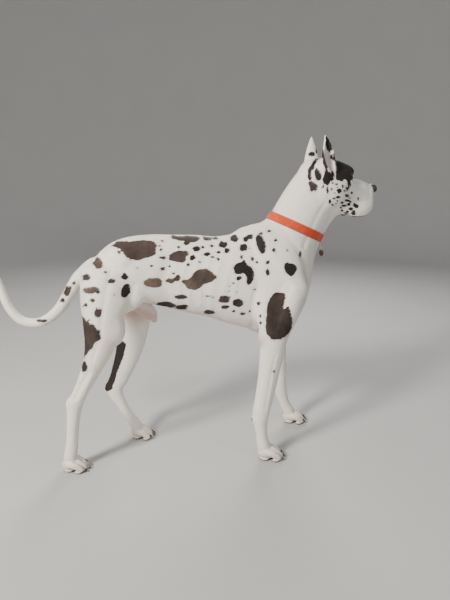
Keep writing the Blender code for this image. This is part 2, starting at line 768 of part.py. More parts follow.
def build_body():
    tail_root = ((RUMP_X, 0, 0), (-1, 0, 0))
    loin = ((LOIN_X, 0, 0), (1, 0, 0))
    hips = ((0, 0, HIP_Z), (0, 0, -1))
    elbows = ((0, 0, ELBOW_Z), (0, 0, -1))
    parts = {}
    parts["head"] = flesh(
        "head",
        (0.48, -0.11, 0.83),
        (0.86, 0.15, 1.16),
        0.0034,
        2900,
        [flip(HEAD_CUT), ear_cut(-1), ear_cut(1)],
        COAT,
    )
    for side, sign in (("right", -1.0), ("left", 1.0)):
        middle = from_head((-0.022, 0.048 * sign, 1.075))
        low = (middle.x - 0.055, middle.y - 0.045, 1.000)
        high = (middle.x + 0.055, middle.y + 0.045, 1.150)
        parts["ear_" + side] = flesh("ear_" + side, low, high, 0.0018, 620, [flip(ear_cut(sign))], COAT)
    parts["neck"] = flesh(
        "neck", (0.32, -0.15, 0.68), (0.72, 0.15, 1.10), 0.0060, 1250, [HEAD_CUT, flip(NECK_CUT)], COAT
    )
    parts["chest"] = flesh(
        "chest", (-0.02, -0.19, 0.40), (0.62, 0.19, 0.90), 0.0080, 1400, [NECK_CUT, flip(loin), elbows], COAT
    )
    parts["pelvis"] = flesh(
        "pelvis", (-0.29, -0.17, 0.52), (0.06, 0.17, 0.84), 0.0080, 850, [loin, tail_root, hips], COAT
    )
    parts["sheath"] = flesh(
        "sheath", (-0.14, -0.040, 0.49), (0.04, 0.040, 0.60), 0.0050, 260, [flip(hips)], COAT
    )
    first, second = TAIL_CUTS
    parts["tail_1"] = flesh(
        "tail_1", (-0.38, -0.055, 0.50), (-0.21, 0.055, 0.75), 0.0050, 330, [flip(tail_root), first], COAT
    )
    parts["tail_2"] = flesh(
        "tail_2", (-0.52, -0.05, 0.48), (-0.30, 0.05, 0.62), 0.0050, 300, [flip(first), second], COAT
    )
    parts["tail_3"] = flesh(
        "tail_3", (-0.60, -0.04, 0.52), (-0.44, 0.06, 0.79), 0.0035, 360, [flip(second)], COAT
    )
    for side, sign in (("right", -1.0), ("left", 1.0)):
        y = sorted((0.030 * sign, 0.185 * sign))
        knee = KNEE_CUTS[side]
        fore_paw = ((0, 0, FORE_PAW_Z), (0, 0, -1))
        hind_paw = ((0, 0, HIND_PAW_Z), (0, 0, -1))
        parts["thigh_" + side] = flesh(
            "thigh_" + side, (-0.32, y[0], 0.28), (0.03, y[1], 0.60), 0.0065, 520, [flip(hips), knee], COAT
        )
        parts["shank_" + side] = flesh(
            "shank_" + side, (-0.36, y[0], 0.05), (-0.02, y[1], 0.40), 0.0050, 460, [flip(knee), hind_paw], COAT
        )
        parts["foreleg_" + side] = flesh(
            "foreleg_" + side, (0.28, y[0], 0.06), (0.60, y[1], 0.47), 0.0055, 560, [flip(elbows), fore_paw], COAT
        )
        for limb, plane in (("fore", fore_paw), ("hind", hind_paw)):
            x, yy, size = PAWS[limb + "_" + side]
            name = limb + "_paw_" + side
            low, high = (x - 0.065, yy - 0.055, -0.012), (x + 0.070, yy + 0.055, 0.105)
            parts[name] = flesh(name, low, high, 0.0028, 620, [flip(plane), FLOOR], COAT)
    return parts


def eye_ball(name, side, radius):
    bm = bmesh.new()
    bmesh.ops.create_uvsphere(bm, u_segments=16, v_segments=10, radius=radius)
    mesh = bpy.data.meshes.new(name)
    bmesh.ops.translate(bm, verts=bm.verts[:], vec=from_head((EYE[0], EYE[1] * side, EYE[2])))
    bm.to_mesh(mesh)
    bm.free()
    mesh.shade_smooth()
    return add(name, mesh, CORNEA)


NOSE = [
    Ball((0.2065, 0, 0.9620), (0.0130, 0.0175, 0.0135), 0.006),
    Ball((0.2120, 0.0095, 0.9570), (0.0095, 0.0085, 0.0120), 0.006),
    Ball((0.2120, -0.0095, 0.9570), (0.0095, 0.0085, 0.0120), 0.006),
]
NOSTRILS = [
    Ball((0.2205, 0.0080, 0.9585), (0.0070, 0.0044, 0.0044), 0.002),
    Ball((0.2130, 0.0170, 0.9540), (0.0070, 0.0055, 0.0018), 0.002, (45, 0, 0)),
    Ball((0.2205, -0.0080, 0.9585), (0.0070, 0.0044, 0.0044), 0.002),
    Ball((0.2130, -0.0170, 0.9540), (0.0070, 0.0055, 0.0018), 0.002, (-45, 0, 0)),
]


def nose_part(name, grown, open_nostrils, triangles):
    def field(p):
        q = to_head(p)
        out = melted(NOSE, q) - grown
        return carved(NOSTRILS, q, out) if open_nostrils else out

    middle = np.array(from_head((0.205, 0, 0.960)))
    mesh = skin_mesh(name, field, middle - 0.034, middle + 0.034, 0.0022, triangles)
    bm = bmesh.new()
    bm.from_mesh(mesh)
    bmesh.ops.triangulate(bm, faces=bm.faces[:])
    bmesh.ops.recalc_face_normals(bm, faces=bm.faces[:])
    bm.to_mesh(mesh)
    bm.free()
    mesh.shade_smooth()
    return add(name, mesh, LEATHER_NOSE)


COLLAR_AXIS = Vector((math.sin(COLLAR_LEAN), 0, math.cos(COLLAR_LEAN)))
COLLAR_AHEAD = Vector((math.cos(COLLAR_LEAN), 0, -math.sin(COLLAR_LEAN)))


def neck_reach(height, angles):
    """Distances from the collar's axis to the neck's surface."""
    angles = np.atleast_1d(angles)[:, None]
    start = np.array(COLLAR_CENTRE) + np.array(COLLAR_AXIS) * height
    way = np.array(COLLAR_AHEAD) * np.cos(angles) + np.array((0.0, 1.0, 0.0)) * np.sin(angles)
    low, high = np.full(len(angles), 0.03), np.full(len(angles), 0.16)
    for _ in range(20):
        mid = 0.5 * (low + high)
        inside = dog(start + way * mid[:, None]) < 0
        low, high = np.where(inside, mid, low), np.where(inside, high, mid)
    return low


def collar_ring(name, inner, outer, half, mat):
    """Band round the neck: each side of it follows the neck."""
    turn = 2 * math.pi * np.arange(COLLAR_STEPS) / COLLAR_STEPS
    below, above = neck_reach(-COLLAR_WIDTH / 2, turn), neck_reach(COLLAR_WIDTH / 2, turn)
    rings = []
    for angle, under, over in zip(turn, below, above):
        way = COLLAR_AHEAD * math.cos(angle) + Vector((0, 1, 0)) * math.sin(angle)
        ring = []
        for h, r in ((-half, under + inner), (-half, under + outer), (half, over + outer), (half, over + inner)):
            ring.append(Vector(COLLAR_CENTRE) + COLLAR_AXIS * h + way * r)
        rings.append(ring)
    return add(name, ring_mesh(name, rings), mat)


def torus(name, centre, normal, major, minor, mat, turns=20, sides=6):
    n = Vector(normal).normalized()
    a = n.orthogonal().normalized()
    b = n.cross(a)
    rings = []
    for i in range(turns):
        t = 2 * math.pi * i / turns
        way = a * math.cos(t) + b * math.sin(t)
        ring = []
        for k in range(sides):
            f = 2 * math.pi * k / sides
            ring.append(Vector(centre) + way * (major + minor * math.cos(f)) + n * minor * math.sin(f))
        rings.append(ring)
    obj = add(name, ring_mesh(name, rings), mat)
    obj.data.shade_smooth()
    return obj


def disc(name, centre, normal, radius, thick, hole, hole_up, mat):
    """Round tag with a hole near its rim: an annular plate whose hole sits off centre."""
    n = Vector(normal).normalized()
    up = Vector((0, 0, 1))
    up = (up - n * up.dot(n)).normalized()
    side = n.cross(up)
    count = 24
    rings = []
    for i in range(count):
        t = 2 * math.pi * i / count
        way = side * math.sin(t) + up * math.cos(t)
        rim = Vector(centre) + way * radius
        eye = Vector(centre) + up * hole_up + way * hole
        rings.append([rim + n * thick / 2, rim - n * thick / 2, eye - n * thick / 2, eye + n * thick / 2])
    return add(name, ring_mesh(name, rings), mat)


def build():
    parts = build_body()
    for label, side in (("right", -1.0), ("left", 1.0)):
        eye_ball("eye_" + label, side, EYE_RADIUS)
        socket = eye_ball("eye_socket_" + label, side, EYE_RADIUS + GAP)
        subtract(parts["head"], socket, "eye_" + label)
    nose_part("nose", 0.0, True, 520)
    bed = nose_part("nose_bed", GAP * 2.2, False, 360)
    subtract(parts["head"], bed, "nose")
    collar_ring("collar_band", -0.0004, COLLAR_THICKNESS, COLLAR_WIDTH / 2, BAND)
    groove = collar_ring("collar_groove", -0.0004 - 2 * GAP, 0.030, COLLAR_WIDTH / 2 + GAP, BAND)
    subtract(parts["neck"], groove, "collar")
    front = neck_reach(-COLLAR_WIDTH / 2, 0.0)[0] + COLLAR_THICKNESS
    low = Vector(COLLAR_CENTRE) - COLLAR_AXIS * (COLLAR_WIDTH / 2) + COLLAR_AHEAD * front
    ring = low + Vector((0.0030, 0.0, -0.0105))
    torus("collar_ring", ring, (1.0, 0.0, 0.30), 0.0090, 0.0012, STEEL)
    link = ring + Vector((0.0026, 0.0, -0.0115))
    torus("tag_link", link, (0.0, 1.0, 0.0), 0.0055, 0.0008, STEEL, 14, 6)
    disc("tag", link + Vector((0.0, 0.0, -0.0150)), (1.0, 0.30, 0.0), 0.0125, 0.0016, 0.0020, 0.0095, TAG)


if __name__ == "__main__":
    build()
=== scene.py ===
"""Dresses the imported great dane: one skin over its flesh nodes, short coat, harlequin markings,
eyes, nose leather, claws, collar and tag, on a pale studio floor.

Metres, +X towards the nose, +Y to the animal's left, +Z up, floor at Z = 0.
"""

import itertools
import math
from concurrent.futures import ThreadPoolExecutor

import bmesh
import bpy
import numpy as np
from mathutils import Matrix, Vector
from mathutils.bvhtree import BVHTree


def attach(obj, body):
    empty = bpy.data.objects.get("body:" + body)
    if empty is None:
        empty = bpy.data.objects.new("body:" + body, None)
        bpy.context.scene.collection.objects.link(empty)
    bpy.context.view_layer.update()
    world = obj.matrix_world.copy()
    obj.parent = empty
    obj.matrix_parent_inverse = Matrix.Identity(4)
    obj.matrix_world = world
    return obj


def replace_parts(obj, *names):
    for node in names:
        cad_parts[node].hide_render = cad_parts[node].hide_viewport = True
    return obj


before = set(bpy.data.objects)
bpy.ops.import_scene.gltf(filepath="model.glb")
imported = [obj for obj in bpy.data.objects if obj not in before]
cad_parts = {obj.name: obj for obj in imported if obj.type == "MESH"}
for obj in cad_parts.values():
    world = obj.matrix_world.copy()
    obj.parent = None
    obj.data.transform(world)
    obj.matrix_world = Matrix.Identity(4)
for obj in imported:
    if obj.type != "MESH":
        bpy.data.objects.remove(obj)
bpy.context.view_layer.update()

# Driving dimensions
MID_X = 0.1284  # middle of the box round the nose and the tail's tip, in the sculpting frame
MID_Y = 0.0000
HEAD_TURN = math.radians(14.0)  # to the animal's left
HEAD_PIVOT_X = 0.600
EYE = (0.0770, 0.0362, 1.0055)  # forward of the pivot, to the side, above the floor
EYE_RADIUS = 0.0125
EYE_LOOK = (0.70, 0.70, 0.10)
COLLAR_CENTRE = (0.5000, 0.0, 0.8310)
COLLAR_LEAN = math.radians(24.0)
COLLAR_WIDTH = 0.030
COLLAR_THICKNESS = 0.0032
FORE_Y = 0.1245
HIND_Y = 0.0935

# A station of a tube: x, y, z, half depth in profile, half width
TORSO = (
    (-0.178, 0, 0.676, 0.060, 0.052),
    (-0.140, 0, 0.684, 0.088, 0.078),
    (-0.085, 0, 0.692, 0.109, 0.092),
    (-0.010, 0, 0.692, 0.119, 0.091),
    (0.060, 0, 0.683, 0.127, 0.090),
    (0.130, 0, 0.672, 0.136, 0.097),
    (0.208, 0, 0.659, 0.143, 0.107),
    (0.290, 0, 0.649, 0.165, 0.114),
    (0.360, 0, 0.645, 0.183, 0.114),
    (0.398, 0, 0.641, 0.185, 0.110),
    (0.428, 0, 0.640, 0.185, 0.108),
)
NECK = (
    (0.385, 0, 0.640, 0.110, 0.080),
    (0.423, 0, 0.705, 0.124, 0.088),
    (0.455, 0, 0.748, 0.116, 0.082),
    (0.480, 0, 0.790, 0.104, 0.075),
    (0.5000, 0, 0.831, 0.0975, 0.070),
    (0.529, 0, 0.885, 0.0955, 0.066),
    (0.558, 0, 0.936, 0.0915, 0.061),
    (0.578, 0.001, 0.966, 0.0885, 0.0575),
    (0.590, 0.002, 0.984, 0.0880, 0.0570),
)
BREAST = (
    (0.500, 0, 0.735, 0.048, 0.048),
    (0.510, 0, 0.672, 0.049, 0.052),
    (0.503, 0, 0.610, 0.051, 0.056),
    (0.480, 0, 0.550, 0.054, 0.058),
    (0.448, 0, 0.502, 0.056, 0.052),
    (0.400, 0, 0.500, 0.050, 0.046),
)
THROAT = (
    (0.655, 0.012, 0.893, 0.020, 0.022),
    (0.622, 0.008, 0.864, 0.024, 0.019),
    (0.592, 0.003, 0.818, 0.022, 0.016),
    (0.570, 0, 0.768, 0.020, 0.016),
    (0.550, 0, 0.710, 0.018, 0.020),
)
TAIL = (
    (-0.190, 0, 0.700, 0.032, 0.030),
    (-0.222, 0, 0.685, 0.0290, 0.0270),
    (-0.252, 0, 0.660, 0.0250, 0.0230),
    (-0.285, 0, 0.612, 0.0215, 0.0200),
    (-0.319, 0, 0.564, 0.0190, 0.0180),
    (-0.362, 0, 0.529, 0.0175, 0.0168),
    (-0.406, 0.001, 0.516, 0.0168, 0.0160),
    (-0.451, 0.003, 0.531, 0.0160, 0.0152),
    (-0.483, 0.006, 0.573, 0.0150, 0.0144),
    (-0.500, 0.010, 0.622, 0.0138, 0.0132),
    (-0.513, 0.014, 0.668, 0.0118, 0.0112),
    (-0.532, 0.018, 0.712, 0.0088, 0.0084),
    (-0.556, 0.022, 0.748, 0.0050, 0.0048),
)

# Fore limb: near one set back, far one set forward
ARMS = {
    "right": (
        (0.472, 0.102, 0.622, 0.048, 0.040),
        (0.442, 0.110, 0.548, 0.050, 0.040),
        (0.409, 0.116, 0.470, 0.047, 0.037),
        (0.3960, 0.1190, 0.385, 0.0415, 0.0300),
        (0.3885, 0.1200, 0.325, 0.0370, 0.0272),
        (0.3740, 0.1220, 0.240, 0.0335, 0.0240),
        (0.3620, 0.1230, 0.172, 0.0298, 0.0245),
        (0.3660, 0.1240, 0.105, 0.0212, 0.0205),
        (0.3740, 0.1245, 0.055, 0.0240, 0.0240),
    ),
    "left": (
        (0.484, 0.102, 0.622, 0.048, 0.040),
        (0.474, 0.110, 0.552, 0.050, 0.040),
        (0.462, 0.116, 0.470, 0.047, 0.037),
        (0.4740, 0.1190, 0.385, 0.0415, 0.0300),
        (0.4820, 0.1200, 0.325, 0.0370, 0.0272),
        (0.4890, 0.1220, 0.240, 0.0330, 0.0240),
        (0.4960, 0.1230, 0.172, 0.0298, 0.0245),
        (0.5170, 0.1240, 0.100, 0.0215, 0.0205),
        (0.5380, 0.1245, 0.055, 0.0240, 0.0240),
    ),
}
SCAPULA = (
    (0.362, 0.040, 0.795, 0.034, 0.018),
    (0.400, 0.074, 0.735, 0.052, 0.030),
    (0.445, 0.088, 0.675, 0.054, 0.036),
    (0.477, 0.094, 0.628, 0.045, 0.040),
)
TRICEPS = {
    "right": (
        (0.405, 0.088, 0.650, 0.052, 0.030),
        (0.385, 0.103, 0.560, 0.046, 0.034),
        (0.384, 0.114, 0.490, 0.032, 0.028),
    ),
    "left": (
        (0.420, 0.088, 0.650, 0.052, 0.030),
        (0.425, 0.103, 0.560, 0.046, 0.034),
        (0.434, 0.114, 0.490, 0.032, 0.028),
    ),
}
LEGS = {
    "right": (
        (-0.158, 0.056, 0.680, 0.078, 0.048),
        (-0.162, 0.080, 0.605, 0.075, 0.050),
        (-0.169, 0.093, 0.530, 0.0640, 0.044),
        (-0.184, 0.096, 0.455, 0.0490, 0.0365),
        (-0.2120, 0.0960, 0.383, 0.0340, 0.0275),
        (-0.2520, 0.0950, 0.303, 0.0252, 0.0210),
        (-0.2780, 0.0940, 0.248, 0.0262, 0.0205),
        (-0.2885, 0.0935, 0.185, 0.0222, 0.0185),
        (-0.2985, 0.0935, 0.105, 0.0212, 0.0185),
        (-0.3080, 0.0935, 0.055, 0.0235, 0.0220),
    ),
    "left": (
        (-0.150, 0.056, 0.680, 0.078, 0.048),
        (-0.116, 0.080, 0.605, 0.080, 0.050),
        (-0.090, 0.093, 0.525, 0.0720, 0.044),
        (-0.085, 0.096, 0.445, 0.0600, 0.0365),
        (-0.1010, 0.0960, 0.362, 0.0480, 0.0290),
        (-0.1370, 0.0950, 0.268, 0.0370, 0.0225),
        (-0.1600, 0.0940, 0.212, 0.0300, 0.0205),
        (-0.1330, 0.0935, 0.142, 0.0205, 0.0185),
        (-0.1010, 0.0935, 0.080, 0.0210, 0.0190),
        (-0.0840, 0.0935, 0.052, 0.0235, 0.0220),
    ),
}
# Paw: middle of the foot, and size against a fore paw
PAWS = {
    "fore_right": (0.394, -FORE_Y - 0.001, 1.00),
    "fore_left": (0.557, FORE_Y + 0.001, 1.00),
    "hind_right": (-0.300, -HIND_Y, 0.94),
    "hind_left": (-0.070, HIND_Y, 0.94),
}


def smooth_min(a, b, k):
    """Union of two fields, melted over a width k."""
    h = np.maximum(k - np.abs(a - b), 0.0) / k
    return np.minimum(a, b) - h * h * k * 0.25


def smooth_max(a, b, k):
    return -smooth_min(-a, -b, k)


def curve(stations, step=0.010):
    """Catmull-Rom curve through the stations, sampled about every step."""
    p = np.array(stations, float)
    ends = np.vstack((2 * p[0] - p[1], p, 2 * p[-1] - p[-2]))
    out = []
    for i in range(len(p) - 1):
        a, b, c, d = ends[i : i + 4]
        n = max(2, int(np.linalg.norm(c[:3] - b[:3]) / step))
        t = (np.arange(n) / n)[:, None]
        out.append(
            0.5
            * (2 * b + (c - a) * t + (2 * a - 5 * b + 4 * c - d) * t**2 + (3 * b - a - 3 * c + d) * t**3)
        )
    return np.vstack(out + [p[-1:]])


class Tube:
    """Elliptic tube along a curve, with rounded ends."""

    def __init__(self, stations, melt, side=(0.0, 1.0, 0.0), step=0.010, power=2.0):
        s = curve(stations, step)
        self.a, self.b = s[:-1], s[1:]
        self.melt, self.power = melt, power
        along = self.b[:, :3] - self.a[:, :3]
        self.length2 = (along**2).sum(1)
        t = along / np.sqrt(self.length2)[:, None]
        side = np.array(side, float)
        w = side - t * (t @ side)[:, None]
        self.t, self.w = t, w / np.linalg.norm(w, axis=1)[:, None]
        self.d = np.cross(self.t, self.w)
        reach = s[:, 3:].max() + 0.055
        self.low, self.high = s[:, :3].min(0) - reach, s[:, :3].max(0) + reach

    def __call__(self, p):
        along = self.b[:, :3] - self.a[:, :3]
        dot = p @ along.T - (self.a[:, :3] * along).sum(1)
        part = np.clip(dot / self.length2, 0.0, 1.0)
        far = (p**2).sum(1)[:, None] - 2 * (p @ self.a[:, :3].T) + (self.a[:, :3] ** 2).sum(1)
        far -= part * (2 * dot - part * self.length2)
        which = far.argmin(1)
        row = np.arange(len(p))
        best = np.maximum(far[row, which], 0.0)
        part = part[row, which]
        near = self.a[which] + part[:, None] * (self.b[which] - self.a[which])
        q = p - near[:, :3]
        deep, wide = near[:, 3], near[:, 4]
        x = np.abs((q * self.d[which]).sum(1)) / deep
        y = np.abs((q * self.w[which]).sum(1)) / wide
        z = np.abs((q * self.t[which]).sum(1)) / np.minimum(deep, wide)
        n = self.power
        r = (x**n + y**n + z**n) ** (1.0 / n) + 1e-9
        return np.sqrt(best) * (1.0 - 1.0 / r) - 1e-9 * (r < 1e-6)


class Ball:
    """Ellipsoid with its long axes turned by yaw, pitch and roll in degrees."""

    def __init__(self, centre, radii, melt, turn=(0.0, 0.0, 0.0)):
        self.c, self.r, self.melt = np.array(centre, float), np.array(radii, float), melt
        yaw, pitch, roll = (math.radians(v) for v in turn)
        turned = Matrix.Rotation(yaw, 3, "Z") @ Matrix.Rotation(pitch, 3, "Y") @ Matrix.Rotation(roll, 3, "X")
        self.m = np.array(turned)
        reach = self.r.max() + 0.055
        self.low, self.high = self.c - reach, self.c + reach

    def __call__(self, p):
        q = (p - self.c) @ self.m
        far = np.sqrt((q**2).sum(1))
        r = np.sqrt(((q / self.r) ** 2).sum(1)) + 1e-9
        return far * (1.0 - 1.0 / r)


def melted(pieces, p, start=None):
    """Smooth union of pieces at points p."""
    out = np.full(len(p), 1.0) if start is None else start
    for piece in pieces:
        near = np.all((p > piece.low) & (p < piece.high), axis=1)
        if near.any():
            out[near] = smooth_min(out[near], piece(p[near]), piece.melt)
    return out


def carved(pieces, p, out):
    """Pieces cut away from the field, with softened rims."""
    for piece in pieces:
        near = np.all((p > piece.low) & (p < piece.high), axis=1)
        if near.any():
            out[near] = smooth_max(out[near], -piece(p[near]), piece.melt)
    return out


def sided(stations, sign):
    return tuple((x, y * sign, z, a, b) for x, y, z, a, b in stations)


def paw_pieces(x, y, size):
    """Four arched toes, and pads whose undersides reach the floor."""
    out = [
        Ball((x - 0.006 * size, y, 0.029 * size), (0.036 * size, 0.029 * size, 0.023 * size), 0.012),
        Ball((x - 0.014 * size, y, 0.008 * size), (0.021 * size, 0.023 * size, 0.0105 * size), 0.006),
    ]
    for spread, ahead in ((-0.0285, -0.010), (-0.0100, 0.0), (0.0100, 0.0), (0.0285, -0.010)):
        s, f = y + spread * size, x + ahead * size
        root = y + 0.6 * spread * size
        toe = (
            (f - 0.012 * size, root, 0.036 * size, 0.0130 * size, 0.0095 * size),
            (f + 0.013 * size, s, 0.0345 * size, 0.0130 * size, 0.0098 * size),
            (f + 0.031 * size, s, 0.0230 * size, 0.0125 * size, 0.0095 * size),
            (f + 0.041 * size, s, 0.0145 * size, 0.0095 * size, 0.0080 * size),
        )
        out.append(Tube(toe, 0.0035, step=0.004))
        pad = (0.0125 * size, 0.0085 * size, 0.009 * size)
        out.append(Ball((f + 0.031 * size, s, 0.007 * size), pad, 0.003))
    return out


BODY = [
    Tube(TORSO, 0.04, power=2.2),
    Tube(NECK, 0.06),
    Tube(BREAST, 0.045),
    Tube(THROAT, 0.020),
    Tube(TAIL, 0.022),
]
BODY += [
    Ball((0.345, 0, 0.802), (0.055, 0.030, 0.026), 0.03),
    Ball((0.314, 0, 0.812), (0.013, 0.013, 0.013), 0.014),
    Ball((0.347, 0, 0.820), (0.013, 0.013, 0.013), 0.014),
]
for _side, _sign in (("right", -1.0), ("left", 1.0)):
    BODY += [
        Tube(sided(SCAPULA, _sign), 0.045),
        Tube(sided(TRICEPS[_side], _sign), 0.025),
        Tube(sided(ARMS[_side], _sign), 0.018),
        Tube(sided(LEGS[_side], _sign), 0.022),
        Ball((0.486, 0.050 * _sign, 0.592), (0.040, 0.034, 0.062), 0.03),
        Ball((0.482, 0.096 * _sign, 0.630), (0.033, 0.028, 0.042), 0.02),
        Ball((-0.104, 0.058 * _sign, 0.752), (0.032, 0.022, 0.020), 0.035),
    ]
BODY += [
    # forearm muscles
    Ball((0.4060, -0.1290, 0.400), (0.022, 0.014, 0.052), 0.02),
    Ball((0.4830, 0.1290, 0.400), (0.022, 0.014, 0.052), 0.02),
    # elbow, carpal pads, hock points, stifles and flank folds, each where its limb stands
    Ball((0.371, -0.1170, 0.462), (0.020, 0.016, 0.024), 0.014),
    Ball((0.427, 0.1170, 0.462), (0.020, 0.016, 0.024), 0.014),
    Ball((0.3370, -0.1235, 0.160), (0.0100, 0.0085, 0.0110), 0.008),
    Ball((0.4730, 0.1235, 0.160), (0.0100, 0.0085, 0.0110), 0.008),
    Ball((-0.2935, -0.0935, 0.254), (0.0125, 0.0120, 0.0180), 0.014),
    Ball((-0.1840, 0.0935, 0.218), (0.0150, 0.0120, 0.0180), 0.014),
    Ball((-0.122, -0.0940, 0.505), (0.022, 0.024, 0.040), 0.03),
    Ball((-0.045, 0.0940, 0.500), (0.022, 0.024, 0.040), 0.03),
    Ball((-0.085, -0.0700, 0.600), (0.040, 0.016, 0.034), 0.045),
    Ball((-0.050, 0.0700, 0.600), (0.040, 0.016, 0.034), 0.045),
    # sheath
    Tube(
        (
            (-0.095, 0, 0.580, 0.018, 0.016),
            (-0.050, 0, 0.559, 0.025, 0.019),
            (-0.020, 0, 0.540, 0.027, 0.019),
            (-0.007, 0, 0.522, 0.021, 0.016),
            (0.000, 0, 0.510, 0.012, 0.010),
        ),
        0.014,
    ),
]
BODY_CUTS = [
    # hollows between shin and hamstring tendon
    Tube(
        (
            (-0.2270, -0.1290, 0.368, 0.008, 0.010),
            (-0.2560, -0.1215, 0.318, 0.006, 0.008),
            (-0.2740, -0.1165, 0.282, 0.004, 0.005),
        ),
        0.014,
    ),
    Tube(
        (
            (-0.1270, 0.1290, 0.345, 0.008, 0.010),
            (-0.1480, 0.1220, 0.295, 0.006, 0.008),
            (-0.1640, 0.1165, 0.262, 0.004, 0.005),
        ),
        0.014,
    ),
]
for _x, _y, _size in PAWS.values():
    BODY += paw_pieces(_x, _y, _size)

# The head, in its own frame: forward of the pivot, to the side, above the floor; both sides alike
HEAD = [
    Ball((0.022, 0, 1.003), (0.074, 0.055, 0.056), 0.03),
    Ball((-0.035, 0, 1.022), (0.046, 0.036, 0.034), 0.03),
    Ball((0.068, 0.020, 1.016), (0.034, 0.025, 0.024), 0.018),
    Ball((0.034, 0.047, 0.984), (0.047, 0.016, 0.019), 0.036, (8, 4, 0)),
    Ball((0.070, 0.030, 1.021), (0.022, 0.013, 0.009), 0.016, (30, 0, 0)),
    Ball((0.128, 0.018, 0.958), (0.034, 0.012, 0.018), 0.022),
    Ball((0.012, 0.039, 0.942), (0.052, 0.027, 0.046), 0.030),
    Tube(
        (
            (0.066, 0, 0.946, 0.052, 0.046),
            (0.108, 0, 0.937, 0.056, 0.040),
            (0.140, 0, 0.934, 0.056, 0.036),
            (0.162, 0, 0.930, 0.053, 0.0335),
            (0.174, 0, 0.928, 0.050, 0.031),
        ),
        0.02,
        power=2.5,
        step=0.006,
    ),
    # flews, from under the nose round to the corner of the mouth
    Tube(
        (
            (0.188, 0.011, 0.916, 0.019, 0.013),
            (0.177, 0.023, 0.899, 0.022, 0.013),
            (0.158, 0.032, 0.889, 0.024, 0.012),
            (0.138, 0.0355, 0.885, 0.024, 0.011),
            (0.108, 0.0365, 0.882, 0.022, 0.010),
            (0.082, 0.0370, 0.884, 0.016, 0.008),
            (0.066, 0.0370, 0.887, 0.010, 0.006),
        ),
        0.014,
        step=0.005,
    ),
    # lower jaw
    Tube(
        (
            (0.166, 0.004, 0.890, 0.013, 0.019),
            (0.138, 0.010, 0.888, 0.016, 0.021),
            (0.092, 0.020, 0.890, 0.020, 0.020),
            (0.040, 0.030, 0.904, 0.026, 0.020),
        ),
        0.012,
        step=0.006,
    ),
    # lids
    Ball(EYE, (0.0160, 0.0160, 0.0150), 0.009),
    # root of the ear, and the ear itself, a cone open to the side
    Ball((-0.020, 0.040, 1.026), (0.031, 0.022, 0.028), 0.025),
    Tube(
        (
            (-0.016, 0.0460, 1.004, 0.0270, 0.0190),
            (-0.018, 0.0500, 1.024, 0.0310, 0.0230),
            (-0.020, 0.0525, 1.048, 0.0285, 0.0205),
            (-0.023, 0.0510, 1.074, 0.0235, 0.0165),
            (-0.026, 0.0480, 1.098, 0.0165, 0.0115),
            (-0.029, 0.0445, 1.118, 0.0090, 0.0068),
            (-0.031, 0.0420, 1.130, 0.0040, 0.0035),
        ),
        0.010,
        side=(0.12, 1.0, 0.0),
        step=0.006,
    ),
]
HEAD_CUTS = [
    # mouth line
    Tube(
        (
            (0.202, 0.000, 0.9010, 0.0030, 0.0030),
            (0.193, 0.012, 0.8930, 0.0032, 0.0032),
            (0.176, 0.0200, 0.8790, 0.0034, 0.0034),
            (0.146, 0.0260, 0.8700, 0.0036, 0.0036),
            (0.110, 0.0300, 0.8650, 0.0036, 0.0036),
            (0.082, 0.0370, 0.8690, 0.0032, 0.0032),
            (0.062, 0.0440, 0.8780, 0.0024, 0.0024),
        ),
        0.004,
        step=0.004,
    ),
    # groove under the nose
    Tube(
        (
            (0.212, 0, 0.942, 0.0022, 0.0018),
            (0.211, 0, 0.922, 0.0026, 0.0020),
            (0.206, 0, 0.904, 0.0026, 0.0020),
        ),
        0.004,
        step=0.004,
    ),
    # cup of the ear
    Tube(
        (
            (-0.003, 0.0670, 1.000, 0.0060, 0.0070),
            (-0.008, 0.0670, 1.018, 0.0130, 0.0140),
            (-0.014, 0.0640, 1.036, 0.0200, 0.0215),
            (-0.0185, 0.0620, 1.054, 0.0235, 0.0245),
            (-0.0225, 0.0590, 1.074, 0.0198, 0.0205),
            (-0.0255, 0.0550, 1.094, 0.0136, 0.0150),
            (-0.028, 0.0512, 1.109, 0.0074, 0.0095),
        ),
        0.0025,
        side=(0.12, 1.0, 0.0),
        step=0.006,
    ),
    # opening between the lids
    Ball(
        tuple(e + 0.0115 * l for e, l in zip(EYE, EYE_LOOK)),
        (0.0072, 0.0128, 0.0060),
        0.003,
        (math.degrees(math.atan2(EYE_LOOK[1], EYE_LOOK[0])), -4, 8),
    ),
]


def to_head(p):
    """Sculpting frame to the head's own frame."""
    c, s = math.cos(HEAD_TURN), math.sin(HEAD_TURN)
    x = p[:, 0] - HEAD_PIVOT_X
    return np.stack((x * c + p[:, 1] * s, -x * s + p[:, 1] * c, p[:, 2]), axis=1)


def from_head(p):
    c, s = math.cos(HEAD_TURN), math.sin(HEAD_TURN)
    return Vector((HEAD_PIVOT_X + p[0] * c - p[1] * s, p[0] * s + p[1] * c, p[2]))


def dog(p):
    """The whole animal's field: negative inside, about a distance near the surface."""
    out = carved(BODY_CUTS, p, melted(BODY, p))
    q = to_head(p)
    near = (q[:, 0] > -0.14) & (q[:, 0] < 0.32) & (np.abs(q[:, 1]) < 0.14) & (q[:, 2] > 0.80)
    if near.any():
        h = q[near]
        h[:, 1] = np.sqrt(h[:, 1] ** 2 + 1e-6)
        head = melted(HEAD, h)
        out[near] = carved(HEAD_CUTS, h, smooth_min(out[near], head, 0.026))
    return out


